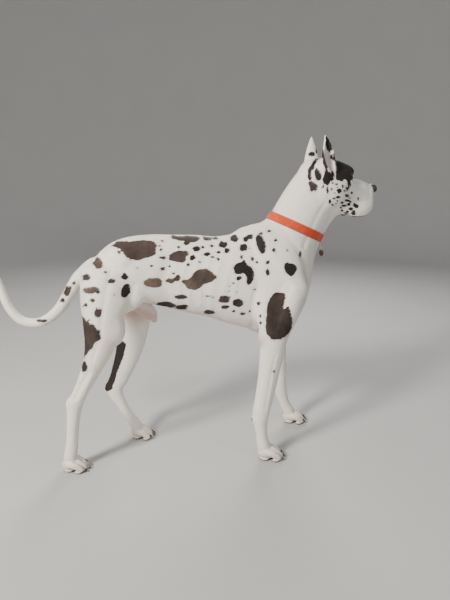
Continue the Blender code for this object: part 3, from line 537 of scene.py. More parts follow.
SHIFT = np.array((MID_X, MID_Y, 0.0))
DEPTH = 0.0008  # the skin lies this far inside the solids, and the coat covers it
TUFTS, FEWER_TUFTS = 168000, 60000  # in a full run, and in a quick one
ELBOW_CALLUS = (0.352, -0.128, 0.455)
LARGEST_PATCH = 0.17  # a patch whose outline spreads further than this has slipped past a limb's edge
TETRA = np.array(((1, 1, 1), (1, -1, -1), (-1, 1, -1), (-1, -1, 1)), float)

# The photograph's camera, in the model's frame
CAMERA = np.array((-0.1284, -1.6466, 1.0))
PITCH = math.radians(14.4)
LEVEL = np.array((0.1513, 0.9885, 0.0))
FOCAL = 480.0  # in pixels of a 450 by 600 frame
MIDDLE_X, MIDDLE_Y = 225.0, 300.0  # middle of that frame
LOOK = LEVEL * math.cos(PITCH) - np.array((0, 0, 1.0)) * math.sin(PITCH)
RIGHT = np.array((LEVEL[1], -LEVEL[0], 0.0))
UP = np.cross(RIGHT, LOOK)


def spread(field, p, size=25000):
    """A field at many points, worked out on all cores."""
    bits = [p[i : i + size] for i in range(0, len(p), size)]
    if not bits:
        return np.zeros(0)
    with ThreadPoolExecutor(4) as pool:
        return np.concatenate(list(pool.map(field, bits)))


def ramp(x, low, high):
    t = np.clip((x - low) / (high - low), 0.0, 1.0)
    return t * t * (3 - 2 * t)


def from_line(p, spots):
    """Squared distance from each of p to the line through the spots."""
    far = np.full(len(p), 1.0)
    for a, b in zip(spots[:-1], spots[1:]):
        way = b - a
        t = np.clip((p - a) @ way / (way @ way), 0.0, 1.0)
        far = np.minimum(far, ((p - a - t[:, None] * way) ** 2).sum(1))
    return far


def probe(field, p, h=0.0005):
    """Value and slope of a field, from four samples round each point."""
    parts = [spread(field, p + k * h) for k in TETRA]
    value = sum(parts) / 4
    return value, sum(f[:, None] * k for f, k in zip(parts, TETRA)) / (4 * h)


def sampled(field, grid, step):
    """Field on a grid, worked out only where a four times coarser grid says that a surface is near."""
    shape = grid.shape[:3]
    rough = spread(field, grid[::4, ::4, ::4].reshape(-1, 3)).reshape([-(-m // 4) for m in shape])
    low = np.pad(np.abs(rough), ((0, 1),) * 3, mode="edge")
    least = np.minimum.reduce(
        [low[i : i + rough.shape[0], j : j + rough.shape[1], k : k + rough.shape[2]]
         for i, j, k in itertools.product((0, 1), repeat=3)]
    )
    i, j, k = np.ix_(*[np.arange(m) // 4 for m in shape])
    near = least[i, j, k] < 6.5 * step
    d = rough[i, j, k].copy()
    d[near] = spread(field, grid[near])
    return d


def net(field, low, high, step):
    """Quads on the field's zero surface inside a box."""
    axes = [np.arange(low[i], high[i] + step, step) for i in range(3)]
    grid = np.stack(np.meshgrid(*axes, indexing="ij"), -1)
    d = sampled(field, grid, step)
    n = np.array(d.shape)
    strides = np.array((n[1] * n[2], n[2], 1))
    spots, places, rings = [], [], []
    for axis in range(3):
        u, v = [i for i in range(3) if i != axis]
        first = [slice(0, m - 1) if i == axis else slice(1, m - 1) for i, m in enumerate(n)]
        last = [slice(1, m) if i == axis else slice(1, m - 1) for i, m in enumerate(n)]
        da, db = d[tuple(first)], d[tuple(last)]
        cross = (da < 0) != (db < 0)
        at = np.stack(np.nonzero(cross), 1)
        at[:, u] += 1
        at[:, v] += 1
        a, b = da[cross], db[cross]
        place = np.array(low) + at * step
        place[:, axis] += step * a / (a - b)
        cell = at @ strides
        ring = [cell - strides[u] - strides[v], cell - strides[v], cell, cell - strides[u]]
        ring = np.stack(ring, 1)
        if axis == 1:
            ring = ring[:, ::-1]
        ring = np.where((a < 0)[:, None], ring, ring[:, ::-1])
        rings.append(ring)
        for k in range(4):
            spots.append(ring[:, k])
            places.append(place)
    spots, places, rings = np.concatenate(spots), np.vstack(places), np.vstack(rings)
    names, index = np.unique(spots, return_inverse=True)
    count = np.bincount(index)
    points = np.stack([np.bincount(index, places[:, i]) / count for i in range(3)], 1)
    return points, np.searchsorted(names, rings)


def surface(field, low, high, step, keep=None, passes=2):
    """Settled points, their outward normals, and quads, of the field's surface on the kept side."""
    points, faces = net(field, low, high, step)
    if keep is not None:
        faces = faces[keep(points)[faces].all(1)]
        used, faces = np.unique(faces, return_inverse=True)
        points, faces = points[used], faces.reshape(-1, 4)
    for _ in range(passes):
        value, g = probe(field, points)
        size2 = np.maximum((g**2).sum(1), 0.25)[:, None]
        move = value[:, None] * g / size2
        far = np.linalg.norm(move, axis=1)[:, None]
        points = points - move * np.minimum(1.0, 0.45 * step / np.maximum(far, 1e-9))
    g = probe(field, points)[1]
    return points, g / np.maximum(np.linalg.norm(g, axis=1), 1e-9)[:, None], faces


def hide(p):
    """The skin's own field: the animal's, drawn in by the depth of the coat, with its finer forms."""
    return finer(p, dog(p)) + DEPTH


# Finer forms of the skin, as lines seen in profile: which side (0 for both), height of the ridge or,
# below zero, depth of the groove, its half width, and x and z of its points; all but the first in millimetres
LINES = (
    (0, 1.6, 13, 362, 806, 400, 745, 445, 680, 472, 640),
    (0, -2.4, 15, 330, 785, 338, 700, 350, 625),
    (0, -2.0, 12, 425, 856, 470, 790, 512, 720, 532, 650),
    (-1, -2.6, 11, 338, 630, 332, 560, 345, 495),
    (1, -2.6, 11, 352, 630, 372, 560, 392, 495),
    (-1, -1.8, 8, 452, 640, 428, 575, 402, 505),
    (1, -1.8, 8, 460, 640, 455, 575, 450, 505),
    (-1, 2.0, 14, 395, 590, 380, 520),
    (1, 2.0, 14, 425, 590, 425, 520),
    (0, 0.9, 8, 302, 740, 268, 640, 262, 560),
    (0, 0.9, 8, 266, 745, 230, 640, 226, 560),
    (0, 1.0, 8, 230, 748, 192, 640, 190, 565),
    (0, 1.1, 8, 194, 750, 154, 645, 154, 575),
    (0, 1.2, 8, 158, 750, 118, 650, 120, 585),
    (0, 1.2, 8, 122, 748, 84, 655, 88, 600),
    (0, -3.4, 20, 62, 745, 30, 670, 48, 600),
    (0, 1.5, 14, 20, 772, -60, 758),
    (0, 3.0, 16, -82, 742, -92, 735),
    (-1, -2.8, 12, -62, 655, -78, 600, -92, 545),
    (1, -2.8, 12, -50, 650, -45, 600, -40, 545),
    (-1, -2.2, 10, -135, 700, -158, 610, -176, 500, -205, 420),
    (1, -2.2, 10, -128, 700, -125, 610, -118, 500, -140, 400),
    (-1, -1.6, 8, -196, 680, -208, 590, -214, 500),
    (1, -1.6, 8, -186, 680, -176, 590, -168, 500),
    (0, -1.9, 10, 612, 955, 560, 872, 512, 770),
    (0, 1.6, 9, 640, 900, 600, 850, 566, 790, 556, 720),
    (-1, -1.3, 5, 402, 405, 384, 300, 371, 205),
    (1, -1.3, 5, 470, 405, 476, 300, 487, 205),
    (-1, 0.7, 2.4, 418, 430, 402, 340, 388, 240, 378, 170),
    (-1, -1.2, 5, -262, 235, -276, 160, -286, 110),
    (1, -1.2, 5, -136, 190, -112, 135, -92, 95),
    (-1, 0.6, 2.2, -190, 440, -212, 360, -240, 300, -256, 250),
)


def finer(p, d):
    """The field with the ridges and grooves laid on the sides of the body."""
    flat = p[:, [0, 2]]
    for side, height, half, *line in LINES:
        spots = np.array(line, float).reshape(-1, 2) * 0.001
        half = half * 0.001
        near = np.all((flat > spots.min(0) - 2.4 * half) & (flat < spots.max(0) + 2.4 * half), axis=1)
        near &= np.abs(p[:, 1]) > 0.03 if side == 0 else p[:, 1] * side > 0.03
        at = np.nonzero(near)[0]
        if len(at) == 0:
            continue
        far = from_line(flat[at], spots)
        d[at] -= 0.001 * height * np.exp(-far / half**2) * ramp(np.abs(p[at, 1]), 0.030, 0.055)
    chest = (np.abs(p[:, 1]) < 0.05) & (p[:, 0] > 0.46) & (p[:, 2] > 0.48) & (p[:, 2] < 0.72)
    at = np.nonzero(chest)[0]
    if len(at):
        fade = ramp(p[at, 2], 0.48, 0.54) * ramp(p[at, 2], 0.72, 0.66)
        d[at] += 0.0030 * np.exp(-((p[at, 1] / 0.011) ** 2)) * fade
    h = to_head(p)
    face = (h[:, 0] > 0.03) & (h[:, 0] < 0.24) & (np.abs(h[:, 1]) < 0.06)
    face &= (p[:, 2] > 0.85) & (p[:, 2] < 1.06)
    at = np.nonzero(face)[0]
    if len(at):
        h = h[at]
        h[:, 1] = np.sqrt(h[:, 1] ** 2 + 1e-6)
        for height, half, line in FACE:
            spots = np.array(line, float).reshape(-1, 3) * 0.001
            d[at] -= 0.001 * height * np.exp(-from_line(h, spots) / (0.001 * half) ** 2)
    return d


# Ridges and grooves of the face, in the head's own frame, in millimetres
FACE = (
    # furrow of the forehead, the fold over the upper lid and the rim of the lower one
    (-1.2, 5.0, (118, 0, 1030, 90, 0, 1058, 60, 0, 1066)),
    (-1.0, 2.2, (66, 38, 1019, 76, 42, 1020, 88, 38, 1016)),
    (0.8, 1.5, (66, 47, 1003, 74, 50, 997, 84, 48, 994, 93, 42, 995)),
    (-0.9, 2.0, (64, 48, 1000, 74, 52, 991, 86, 50, 987, 98, 43, 989)),
    # edge of the flew, and the hollow over it
    (1.2, 2.4, (196, 22, 886, 176, 34, 872, 150, 41, 866, 120, 44, 864, 92, 44, 867)),
    (-1.4, 6.0, (170, 42, 905, 140, 46, 897, 110, 46, 893)),
    # hollow in front of and under the eye, and the side of the nose's bridge
    (-1.6, 8.0, (112, 36, 985, 140, 34, 970)),
    (-0.8, 5.0, (150, 30, 974, 190, 22, 962)),
    (-1.0, 3.0, (208, 16, 945, 198, 24, 948, 190, 26, 956)),
)


NOSE = [
    Ball((0.2065, 0, 0.9620), (0.0130, 0.0175, 0.0135), 0.006),
    Ball((0.2120, 0.0095, 0.9570), (0.0095, 0.0085, 0.0120), 0.006),
    Ball((0.2120, -0.0095, 0.9570), (0.0095, 0.0085, 0.0120), 0.006),
]
NOSTRILS = [
    Ball((0.2205, 0.0080, 0.9585), (0.0070, 0.0044, 0.0044), 0.002),
    Ball((0.2130, 0.0170, 0.9540), (0.0070, 0.0055, 0.0018), 0.002, (45, 0, 0)),
    Ball((0.2205, -0.0080, 0.9585), (0.0070, 0.0044, 0.0044), 0.002),
    Ball((0.2130, -0.0170, 0.9540), (0.0070, 0.0055, 0.0018), 0.002, (-45, 0, 0)),
]


COLLAR_AXIS = Vector((math.sin(COLLAR_LEAN), 0, math.cos(COLLAR_LEAN)))
COLLAR_AHEAD = Vector((math.cos(COLLAR_LEAN), 0, -math.sin(COLLAR_LEAN)))


def neck_reach(height, angles):
    """Distances from the collar's axis to the neck's surface."""
    angles = np.atleast_1d(angles)[:, None]
    start = np.array(COLLAR_CENTRE) + np.array(COLLAR_AXIS) * height
    way = np.array(COLLAR_AHEAD) * np.cos(angles) + np.array((0.0, 1.0, 0.0)) * np.sin(angles)
    low, high = np.full(len(angles), 0.03), np.full(len(angles), 0.16)
    for _ in range(20):
        mid = 0.5 * (low + high)
        inside = dog(start + way * mid[:, None]) < 0
        low, high = np.where(inside, mid, low), np.where(inside, high, mid)
    return low


def settled(name, mesh, mat):
    """Object in the scene that rides on the root."""
    mesh.materials.append(mat)
    obj = bpy.data.objects.new(name, mesh)
    bpy.context.scene.collection.objects.link(obj)
    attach(obj, "root")
    return obj


def outward(mesh):
    """Turns a closed mesh's faces outward."""
    bm = bmesh.new()
    bm.from_mesh(mesh)
    bmesh.ops.recalc_face_normals(bm, faces=bm.faces[:])
    bm.to_mesh(mesh)
    bm.free()


def add(name, points, faces, mat, normals=None):
    """Mesh object in the model's frame that rides on the root."""
    mesh = bpy.data.meshes.new(name)
    mesh.from_pydata(np.asarray(points).tolist(), [], np.asarray(faces).tolist())
    mesh.validate()
    mesh.shade_smooth()
    if normals is not None:
        mesh.normals_split_custom_set_from_vertices(np.asarray(normals).tolist())
    return settled(name, mesh, mat)


def carry(obj, name, values):
    """Number kept on each point of a mesh."""
    layer = obj.data.attributes.new(name, "FLOAT", "POINT")
    layer.data.foreach_set("value", np.asarray(values, np.float32))


# ---- the skin's shape


def above_collar(p):
    """Height above the middle of the collar, along its lean."""
    return (p - np.array(COLLAR_CENTRE)) @ np.array(COLLAR_AXIS)


def is_head(p):
    return (above_collar(p) > 0) & (p[:, 2] > 0.76) & (p[:, 0] > 0.40)


def is_body(p):
    foot = np.where(p[:, 0] > 0.2, 0.092, 0.088)
    return ~((above_collar(p) > 0.004) & (p[:, 2] > 0.76) & (p[:, 0] > 0.40)) & (p[:, 2] > foot)


def is_foot(p):
    return p[:, 2] < np.where(p[:, 0] > 0.2, 0.0935, 0.0895)


def skin_parts():
    parts = [surface(hide, (-0.60, -0.192, 0.075), (0.63, 0.192, 0.925), 0.0040, is_body)]
    parts.append(surface(hide, (0.42, -0.125, 0.76), (0.86, 0.165, 1.15), 0.0019, is_head))
    for x, y, size in PAWS.values():
        low, high = (x - 0.07, y - 0.06, -0.006), (x + 0.075, y + 0.06, 0.105)
        parts.append(surface(hide, low, high, 0.0017, is_foot))
    points, normals, faces, start = [], [], [], 0
    for p, n, f in parts:
        points.append(p)
        normals.append(n)
        faces.append(f + start)
        start += len(p)
    return np.vstack(points), np.vstack(normals), np.vstack(faces)


# ---- markings: the photograph's patches on the side that it shows, seeded ones elsewhere

BLACK, BROWN, GREY = 0.05, 0.55, 1.0
# Outlines as seen in the photograph, in its pixels, with a tone
OUTLINES = (
    (0.7, (
        108, 244, 121, 240.6, 131, 241.7, 140, 240, 153, 240.6, 158, 245, 155.5, 250, 157, 254,
        154, 256, 146, 258, 138.6, 261, 131, 259.7, 125, 256, 122, 249.6, 114.5, 246.7,
    )),
    (BROWN, (
        168.5, 257, 173, 252, 180, 250, 188, 251, 190, 254, 185.4, 257, 187, 260.4, 182, 263, 176, 262,
        169, 260,
    )),
    (0.8, (
        181.7, 282, 182.5, 279.5, 188.3, 279.5, 191.7, 277, 194.2, 272, 200.8, 268.7, 205.8, 268.3,
        210, 270.3, 215, 274.5, 218, 277, 215, 280.3, 210, 282.8, 204.2, 284, 200.8, 287.8, 195, 290,
        188.3, 289.5, 185, 284.5,
    )),
    (BLACK, (
        233.3, 267, 236, 263.3, 242, 262, 244, 258.6, 246.3, 264, 252, 267, 255, 273, 253.8, 280,
        249, 285.6, 246.3, 282.7, 247.7, 276.6, 243, 273, 237.6, 275, 234, 271,
    )),
    (BLACK, (
        284.4, 263.3, 288, 262, 293.4, 264, 297.4, 266, 297, 270.5, 293.4, 275.5, 290, 276.6, 286, 273,
        284, 268.3,
    )),
    (0.4, (
        273.3, 292.8, 280, 292, 285.8, 293.7, 285.3, 300.3, 283.9, 307.5, 284.5, 309.5, 288.2, 305,
        291, 311, 293, 320.3, 291.7, 328.7, 287.5, 335.3, 281.7, 338.7, 273.3, 340, 269.2, 337,
        265.8, 332, 265.5, 323.7, 266.7, 315.3, 266.3, 308.7, 269.2, 300.3,
    )),
    (BROWN, (
        80, 312, 84, 317, 88, 322, 93, 324, 97.5, 329, 102, 336, 100, 340.3, 94.3, 342.5, 93, 347.5,
        88, 352, 84, 358, 79, 360, 78, 340, 79, 325,
    )),
    (0.02, (
        335.4, 150, 342, 150, 350, 154, 357, 163, 358, 172, 353, 178.5, 350.2, 180.5, 350, 185,
        348.8, 191, 347.6, 186, 347, 180, 344.5, 179, 343, 182, 340, 181, 336, 180.3, 335.2, 176,
        335.9, 168, 335.2, 162,
    )),
    (BROWN, (
        172, 235, 180, 234, 190, 236, 200, 236.5, 199, 241, 192, 243, 184, 241, 176, 240, 171, 238,
    )),
    (BLACK, (
        255.5, 236, 260, 234.5, 264, 238, 266, 244, 266.5, 251, 263, 255, 258.5, 251, 256, 244,
    )),
    (BLACK, (
        114, 342, 121, 329, 127, 331, 126.5, 345, 123, 358, 117.5, 372, 112.5, 388, 104, 393, 101, 388,
        105, 372, 110, 357,
    )),
    # dark slit along the rear edge of the near ear's cup: painted shade of the cup's hollow inside, together
    # with the black hair there
    (0.02, (
        321.6, 148, 323.4, 149, 324.6, 158, 327, 166, 329, 172.5, 327, 173.5, 324.3, 167, 322.2, 159,
    )),
    (0.02, (
        327.5, 136, 329.5, 137, 329, 143, 331, 147, 329.5, 152, 327.6, 147,
    )),
    (0.05, (
        334.8, 150, 336.6, 152, 338, 160, 335.6, 161, 333.4, 156,
    )),
    (BLACK, (
        121, 288, 126, 283, 130.5, 285, 131, 292, 126, 298, 121, 297,
    )),
    (GREY, (
        143, 281, 150, 278, 158, 277, 163, 281, 162, 287, 153, 288, 145, 286,
    )),
    (0.05, (
        308, 176, 309, 168, 312, 163, 316.5, 157.5, 320.5, 153, 321.5, 155.5, 317.5, 161, 313.8, 166,
        311.6, 172, 310.6, 178,
    )),
    (0.05, (
        325.4, 135.5, 328, 136, 330.6, 142, 332.6, 147, 333.2, 151.5, 331, 150.5, 329.6, 153.5,
        328, 149.5, 326.6, 151, 325.6, 143,
    )),
)
# Round patches in the photograph's pixels: middle, half width, half height, tone
SPOTS = (
    (119.5, 252, 2, 2, 0.3), (98, 263, 5, 6, 0.8), (87, 277, 5, 3.5, 0.5), (92, 290, 8, 4, 0.8),
    (98, 292, 2.5, 2, 0.2), (112, 281, 4, 2.5, 0.6), (125, 276.4, 3.7, 3.5, 0),
    (106, 272, 1.6, 1.6, 0.5), (93, 300, 2.6, 2.2, 0.5), (86, 305, 3, 2, 0.4), (98, 312, 4, 5, 0.6),
    (84, 366, 4, 6, 0.4), (89, 320, 1.6, 1.2, 0.5), (94, 326, 1.2, 1.2, 0.3),
    (99.5, 330, 1.4, 1.2, 0.3), (170, 281, 5, 2.6, 0.8), (177.5, 278, 4, 3, 0.6),
    (163, 268.6, 2.6, 1.8, 0.7), (163, 258, 3.5, 2, 0.6), (207.5, 238.4, 5, 2.6, 0.3),
    (215, 238, 3.5, 1.8, 0.2), (196.6, 248.6, 4, 2.6, 0.1), (186, 243, 2.6, 2, 0.3),
    (193, 257.5, 3.5, 3, 0.1), (179, 247, 2, 1.5, 0.4), (207, 254, 3, 2, 0.2), (218.6, 259, 2, 2, 0.1),
    (213, 257, 2, 1, 0.1), (219, 252, 2, 2, 0.1), (223, 244, 4, 3.4, 0.1), (227.5, 250.4, 3, 3, 0),
    (234.3, 238.4, 5, 4.2, 0), (243.6, 247.3, 4, 4, 0), (245.4, 239.3, 2.6, 2.6, 0),
    (249.8, 237, 3.5, 2.5, 0), (261, 233.4, 2, 1.6, 0), (269.5, 231.3, 2, 1.5, 0),
    (250, 248.6, 1.5, 1.6, 0.1), (252.5, 258, 2, 3, 0), (257, 262, 1.5, 1.5, 0.1),
    (268, 262.5, 2.5, 2, 0.3), (267.7, 272.3, 2, 3.5, 0.3), (239, 278, 3, 2.5, 0.1),
    (241.8, 257, 1.6, 2.5, 0), (188, 264.6, 2.5, 1.5, 0.4), (181, 297, 8, 2.6, 0.6),
    (166, 305, 10, 3.6, 0.25), (183, 307, 6, 2.6, 0.1), (225.7, 299, 7, 4, 0.6),
    (238.2, 303, 6, 4.5, 0.5), (225.7, 307, 4.5, 2, 0.5), (210, 312.3, 5.5, 2, 0.7),
    (243, 313.4, 3, 1.5, 0.4), (229, 291, 1.2, 1.2, 0.4), (237, 292, 1.1, 1.1, 0.4),
    (234, 311.4, 1.5, 1.2, 0.4), (250, 311, 2, 1, 0.3), (258.8, 303.4, 2, 2, 0.3),
    (261, 322.7, 1.5, 1.5, 0.3), (67.4, 291, 4, 6, 0.4), (62.5, 300, 2.2, 2.2, 0.4),
    (42, 320.5, 6, 1.8, 0.8), (74, 283, 2, 2, 0.6), (200, 262, 1.6, 1.3, 0.2), (203, 247, 2, 1.6, 0.2),
    (212, 246, 2.2, 1.6, 0.1), (170, 266, 1.5, 1.2, 0.4), (276, 240, 2.2, 2, 0),
    (274, 250, 1.8, 2.2, 0.2), (138, 268, 1.6, 1.2, 0.5), (152, 266, 1.4, 1.2, 0.5),
    (287.5, 250.3, 1, 1.3, 0.9), (300, 254.5, 1.5, 4, 0.95), (233.5, 283, 1.2, 1.1, 0.3),
    (230, 286, 1.1, 1, 0.3), (255, 289.5, 1.4, 1.2, 0.4), (208.5, 296, 3, 1.2, 0.7),
    (213.5, 297.5, 1.4, 1, 0.5), (260.5, 315.5, 0.9, 1.8, 0.2), (274, 371, 1, 2.4, 0.9),
    (162.6, 241, 1.6, 1.2, 0.5), (159.5, 246, 1.2, 1, 0.5), (173.5, 273.5, 2.2, 1.3, 0.7),
    (114.4, 294.5, 1.1, 1.1, 0.5), (161.5, 249.5, 1.2, 1.1, 0.4), (220.5, 246.5, 1.1, 1, 0.1),
    (203, 296, 1, 0.8, 0.6),
    # head and neck
    (350.2, 183, 0.9, 5, 0), (333, 183, 1.3, 1.3, 0.1), (336.7, 184.3, 1.5, 1.2, 0.2),
    (339.2, 190.3, 2.8, 2.5, 0), (327.7, 189.5, 1.4, 3.4, 0.5), (342.7, 186, 1.2, 2.2, 0.1),
    (347, 189, 1.2, 2.4, 0.1), (338, 197, 2.2, 1.1, 0), (334, 198.6, 1.6, 1, 0.1),
    (347, 195.7, 2.3, 1.6, 0.4), (347, 200.5, 3, 1.2, 0), (350, 201.5, 1.4, 1.2, 0.1),
    (330.3, 201.5, 1.5, 2.6, 0), (344, 206, 2.6, 1.4, 0), (348.5, 204.3, 1.6, 1.4, 0.1),
    (355.5, 206, 3.4, 2.6, 0), (358, 199, 1.2, 1.7, 0.7), (351, 208.5, 2.6, 1.8, 0.2),
    (332.5, 205, 1.5, 0.9, 0.3), (343, 214.6, 3.6, 1.5, 0), (353, 213.5, 2.4, 1.5, 0.2),
    (309.6, 174, 2, 5.8, 0), (318, 174.6, 4.2, 6, 0), (313, 187.4, 4.4, 6, 0.8),
    (327, 178.5, 4.2, 7.5, 0.1), (332.5, 174.6, 1.6, 3.6, 0), (312.5, 168, 2, 2.6, 0),
    (323, 186.5, 1.6, 2, 0.2), (331.5, 157, 1.6, 3, 0), (334.3, 158.5, 1.8, 3, 0),
    (345, 191, 1.6, 1, 0.1), (342, 202.7, 1.6, 1.2, 0.3), (337.5, 200.8, 0.9, 0.8, 0.1),
    (342, 210.5, 1.7, 1, 0.3), (347.5, 212, 1.5, 1.2, 0.1), (354, 211, 1.7, 1, 0.1),
    (335, 193, 0.8, 0.8, 0.3), (351.5, 193, 1.2, 1, 0.4), (341, 207.6, 1.6, 0.8, 0.2),
    (349.5, 198, 1.4, 0.9, 0.2), (337.5, 187, 0.8, 0.7, 0.2), (332.2, 179, 1.3, 1.6, 0),
    (336, 203.5, 1, 0.8, 0.2), (311.6, 154.4, 3.8, 2.5, 0), (316.6, 150.5, 0.9, 4, 0),
    (343.5, 214.8, 3, 1.3, 0), (332, 189, 1, 1, 0.5),
)


# The dark cap over the far side of the forehead: a place in the head's own frame, half width, half height
FAR_CAP = 0.03  # its tone, nearly black
FAR_PATCHES = (
    ((0.062, 0.030, 1.050), 0.036, 0.028),
    ((0.082, 0.040, 1.020), 0.033, 0.034),
    ((0.068, 0.045, 1.014), 0.024, 0.026),
    ((0.085, -0.040, 1.014), 0.020, 0.026),
    ((0.100, 0.012, 1.043), 0.026, 0.026),
    ((0.110, 0.012, 1.022), 0.019, 0.020),
    ((0.096, 0.032, 1.012), 0.017, 0.020),
    ((0.100, -0.020, 1.040), 0.024, 0.022),
    ((0.112, -0.014, 1.018), 0.016, 0.018),
    ((0.040, 0.046, 1.030), 0.022, 0.030),
)


class Patch:
    """A marking: an outline on the plane that touches the skin at its middle."""

    def __init__(self, middle, normal, tone):
        self.c, self.n, self.tone = np.array(middle), np.array(normal), tone
        up = (0.0, 0.0, 1.0) if abs(self.n[2]) < 0.9 else (1.0, 0.0, 0.0)
        side = np.cross(self.n, up)
        self.a = side / np.linalg.norm(side)
        self.b = np.cross(self.n, self.a)
        self.flat, self.reach = None, 0.0

    def lay(self, places):
        q = places - self.c
        self.flat = np.stack((q @ self.a, q @ self.b), 1)
        self.reach = np.linalg.norm(self.flat, axis=1).max()

    def distance(self, p):
        q = p - self.c
        x = np.stack((q @ self.a, q @ self.b), 1)
        start, end = self.flat, np.roll(self.flat, -1, 0)
        way = end - start
        rel = x[:, None, :] - start[None]
        t = np.clip((rel * way).sum(2) / np.maximum((way**2).sum(1), 1e-12), 0, 1)
        far = np.sqrt((((rel - t[..., None] * way)) ** 2).sum(2)).min(1)
        up = (start[None, :, 1] > x[:, None, 1]) != (end[None, :, 1] > x[:, None, 1])
        dy = np.where(np.abs(way[:, 1]) < 1e-9, 1e-9, way[:, 1])
        across = x[:, None, 0] < way[:, 0] * (x[:, None, 1] - start[None, :, 1]) / dy + start[None, :, 0]
        inside = (up & across).sum(1) % 2 == 1
        return np.where(inside, -far, far)


def rounded(points):
    """An outline with its corners cut twice."""
    p = np.asarray(points, float)
    for _ in range(2):
        q = np.roll(p, -1, 0)
        p = np.stack((0.75 * p + 0.25 * q, 0.25 * p + 0.75 * q), 1).reshape(-1, 2)
    return p


def seen(tree, x, y, middle=None):
    """Where the photograph's pixel meets the skin; past its outline, as far away as the patch's middle."""
    way = Vector(LOOK + RIGHT * (x - MIDDLE_X) / FOCAL - UP * (y - MIDDLE_Y) / FOCAL).normalized()
    start = Vector(CAMERA + SHIFT)
    place, normal, _, _ = tree.ray_cast(start, way)
    if middle is not None and (place is None or (place - Vector(middle)).length > 0.10):
        return np.array(start + way * (Vector(middle) - start).dot(Vector(LOOK)) / way.dot(Vector(LOOK)))
    if middle is not None:
        return np.array(place)
    if place is None:
        place, normal, _, _ = tree.find_nearest(start + way * 1.72)
    return np.array(place), np.array(normal)


def photo_patches(tree):
    out, rng = [], np.random.default_rng(4)
    for tone, flat in OUTLINES:
        loop = rounded(np.array(flat).reshape(-1, 2))
        out.append((loop, tone))
    for x, y, rx, ry, tone in SPOTS:
        turn = np.arange(10) * 2 * math.pi / 10
        wobble = 1 + 0.16 * rng.standard_normal(10)
        loop = rounded(np.stack((x + rx * wobble * np.cos(turn), y + ry * wobble * np.sin(turn)), 1))
        out.append((loop, tone))
    patches = []
    for loop, tone in out:
        middle, normal = seen(tree, *loop.mean(0))
        normal = 0.5 * normal - 0.8 * LOOK
        normal /= np.linalg.norm(normal)
        places = np.array([seen(tree, x, y, middle) for x, y in loop])
        patch = Patch(middle, normal, tone)
        patch.lay(places)
        if patch.reach < LARGEST_PATCH:
            patches.append(patch)
    return patches


def seeded_patches(points, normals):
    """Patches of the sort that a harlequin coat has, on what the photograph doesn't show."""
    rng = np.random.default_rng(17)
    away = ((CAMERA + SHIFT - points) * normals).sum(1) < 0
    head = to_head(points)
    trunk = (points[:, 2] > 0.50) & (points[:, 0] < 0.52) & (points[:, 0] > -0.26)
    limb = (points[:, 2] > 0.16) & (points[:, 2] <= 0.50) & (points[:, 1] > 0.05)
    back = (normals[:, 2] < 0.55) & (normals[:, 2] > -0.75)
    cheek = (head[:, 0] > -0.06) & (head[:, 0] < 0.15) & (head[:, 1] > 0.02)
    breast = (points[:, 0] > 0.44) & (points[:, 2] < 0.76) & (points[:, 2] > 0.5)
    zones = (
        (away & trunk & back & (points[:, 1] > 0.06), 7, 0.030, 0.046),
        (away & trunk & back & (points[:, 1] > 0.03), 88, 0.0055, 0.021),
        (away & trunk & (normals[:, 2] > 0.3), 16, 0.005, 0.012),
        (away & limb & (points[:, 1] > 0.09), 10, 0.005, 0.013),
        (away & cheek & (points[:, 2] < 1.0), 20, 0.003, 0.010),
        (away & breast & (points[:, 1] > 0.0), 6, 0.006, 0.016),
    )
    patches, taken = [], []
    for zone, count, small, large in zones:
        at = np.nonzero(zone)[0]
        goal = len(taken) + count
        tries = 0
        while len(taken) < goal and tries < 40 * count:
            tries += 1
            i = at[rng.integers(len(at))]
            size = small + (large - small) * rng.random() ** 2.2
            if any(np.linalg.norm(points[i] - points[j]) < 1.15 * (size + s) for j, s in taken):
                continue
            taken.append((i, size))
            n = 12
            turn = np.arange(n) * 2 * math.pi / n
            wobble = 1 + 0.20 * rng.standard_normal(n)
            tilt, flat = rng.random() * math.pi, 0.55 + 0.4 * rng.random()
            x, y = size * wobble * np.cos(turn), size * flat * wobble * np.sin(turn)
            c, s = math.cos(tilt), math.sin(tilt)
            loop = np.stack((x * c - y * s, x * s + y * c), 1)
            tone = float(rng.choice((0.05, 0.1, 0.4, 0.7) if size < 0.028 else (0.1, 0.6, 0.95)))
            patch = Patch(points[i], normals[i], tone)
            patch.flat, patch.reach = rounded(loop), size * 1.4
            patches.append(patch)
    for place, size, flat in FAR_PATCHES:
        at = np.linalg.norm(head - np.array(place), axis=1).argmin()
        turn = np.arange(12) * 2 * math.pi / 12
        wobble = 1 + 0.12 * rng.standard_normal(12)
        patch = Patch(points[at], normals[at], FAR_CAP)
        patch.flat = rounded(np.stack((size * wobble * np.cos(turn), flat * wobble * np.sin(turn)), 1))
        patch.reach = size * 1.3
        patches.append(patch)
    return patches


def marked(points, normals, patches):
    """Signed distance to the nearest patch's edge, negative within it, and that patch's tone."""
    mark, tone = np.full(len(points), 0.03), np.full(len(points), 0.3)
    for patch in patches:
        far = np.linalg.norm(points - patch.c, axis=1)
        depth = np.abs((points - patch.c) @ patch.n)
        # large patches of tone 0.02, such as the black cap round the eye and the painted shade in the ear
        # cup's slit, reach deeper and onto faces turned further away
        deep = 0.045 if patch.tone == 0.02 and patch.reach > 0.03 else 0.0
        near = far < 1.3 * patch.reach + 0.03
        near &= (depth < 0.35 * patch.reach + 0.022 + deep) & (normals @ patch.n > -0.1 - 8 * deep)
        at = np.nonzero(near)[0]
        if len(at) == 0:
            continue
        d = patch.distance(points[at]) + 0.4 * np.maximum(0, depth[at] - 0.6 * patch.reach - 0.006 - deep)
        closer = d < mark[at]
        mark[at[closer]], tone[at[closer]] = d[closer], patch.tone
    return mark, tone


# ---- materials


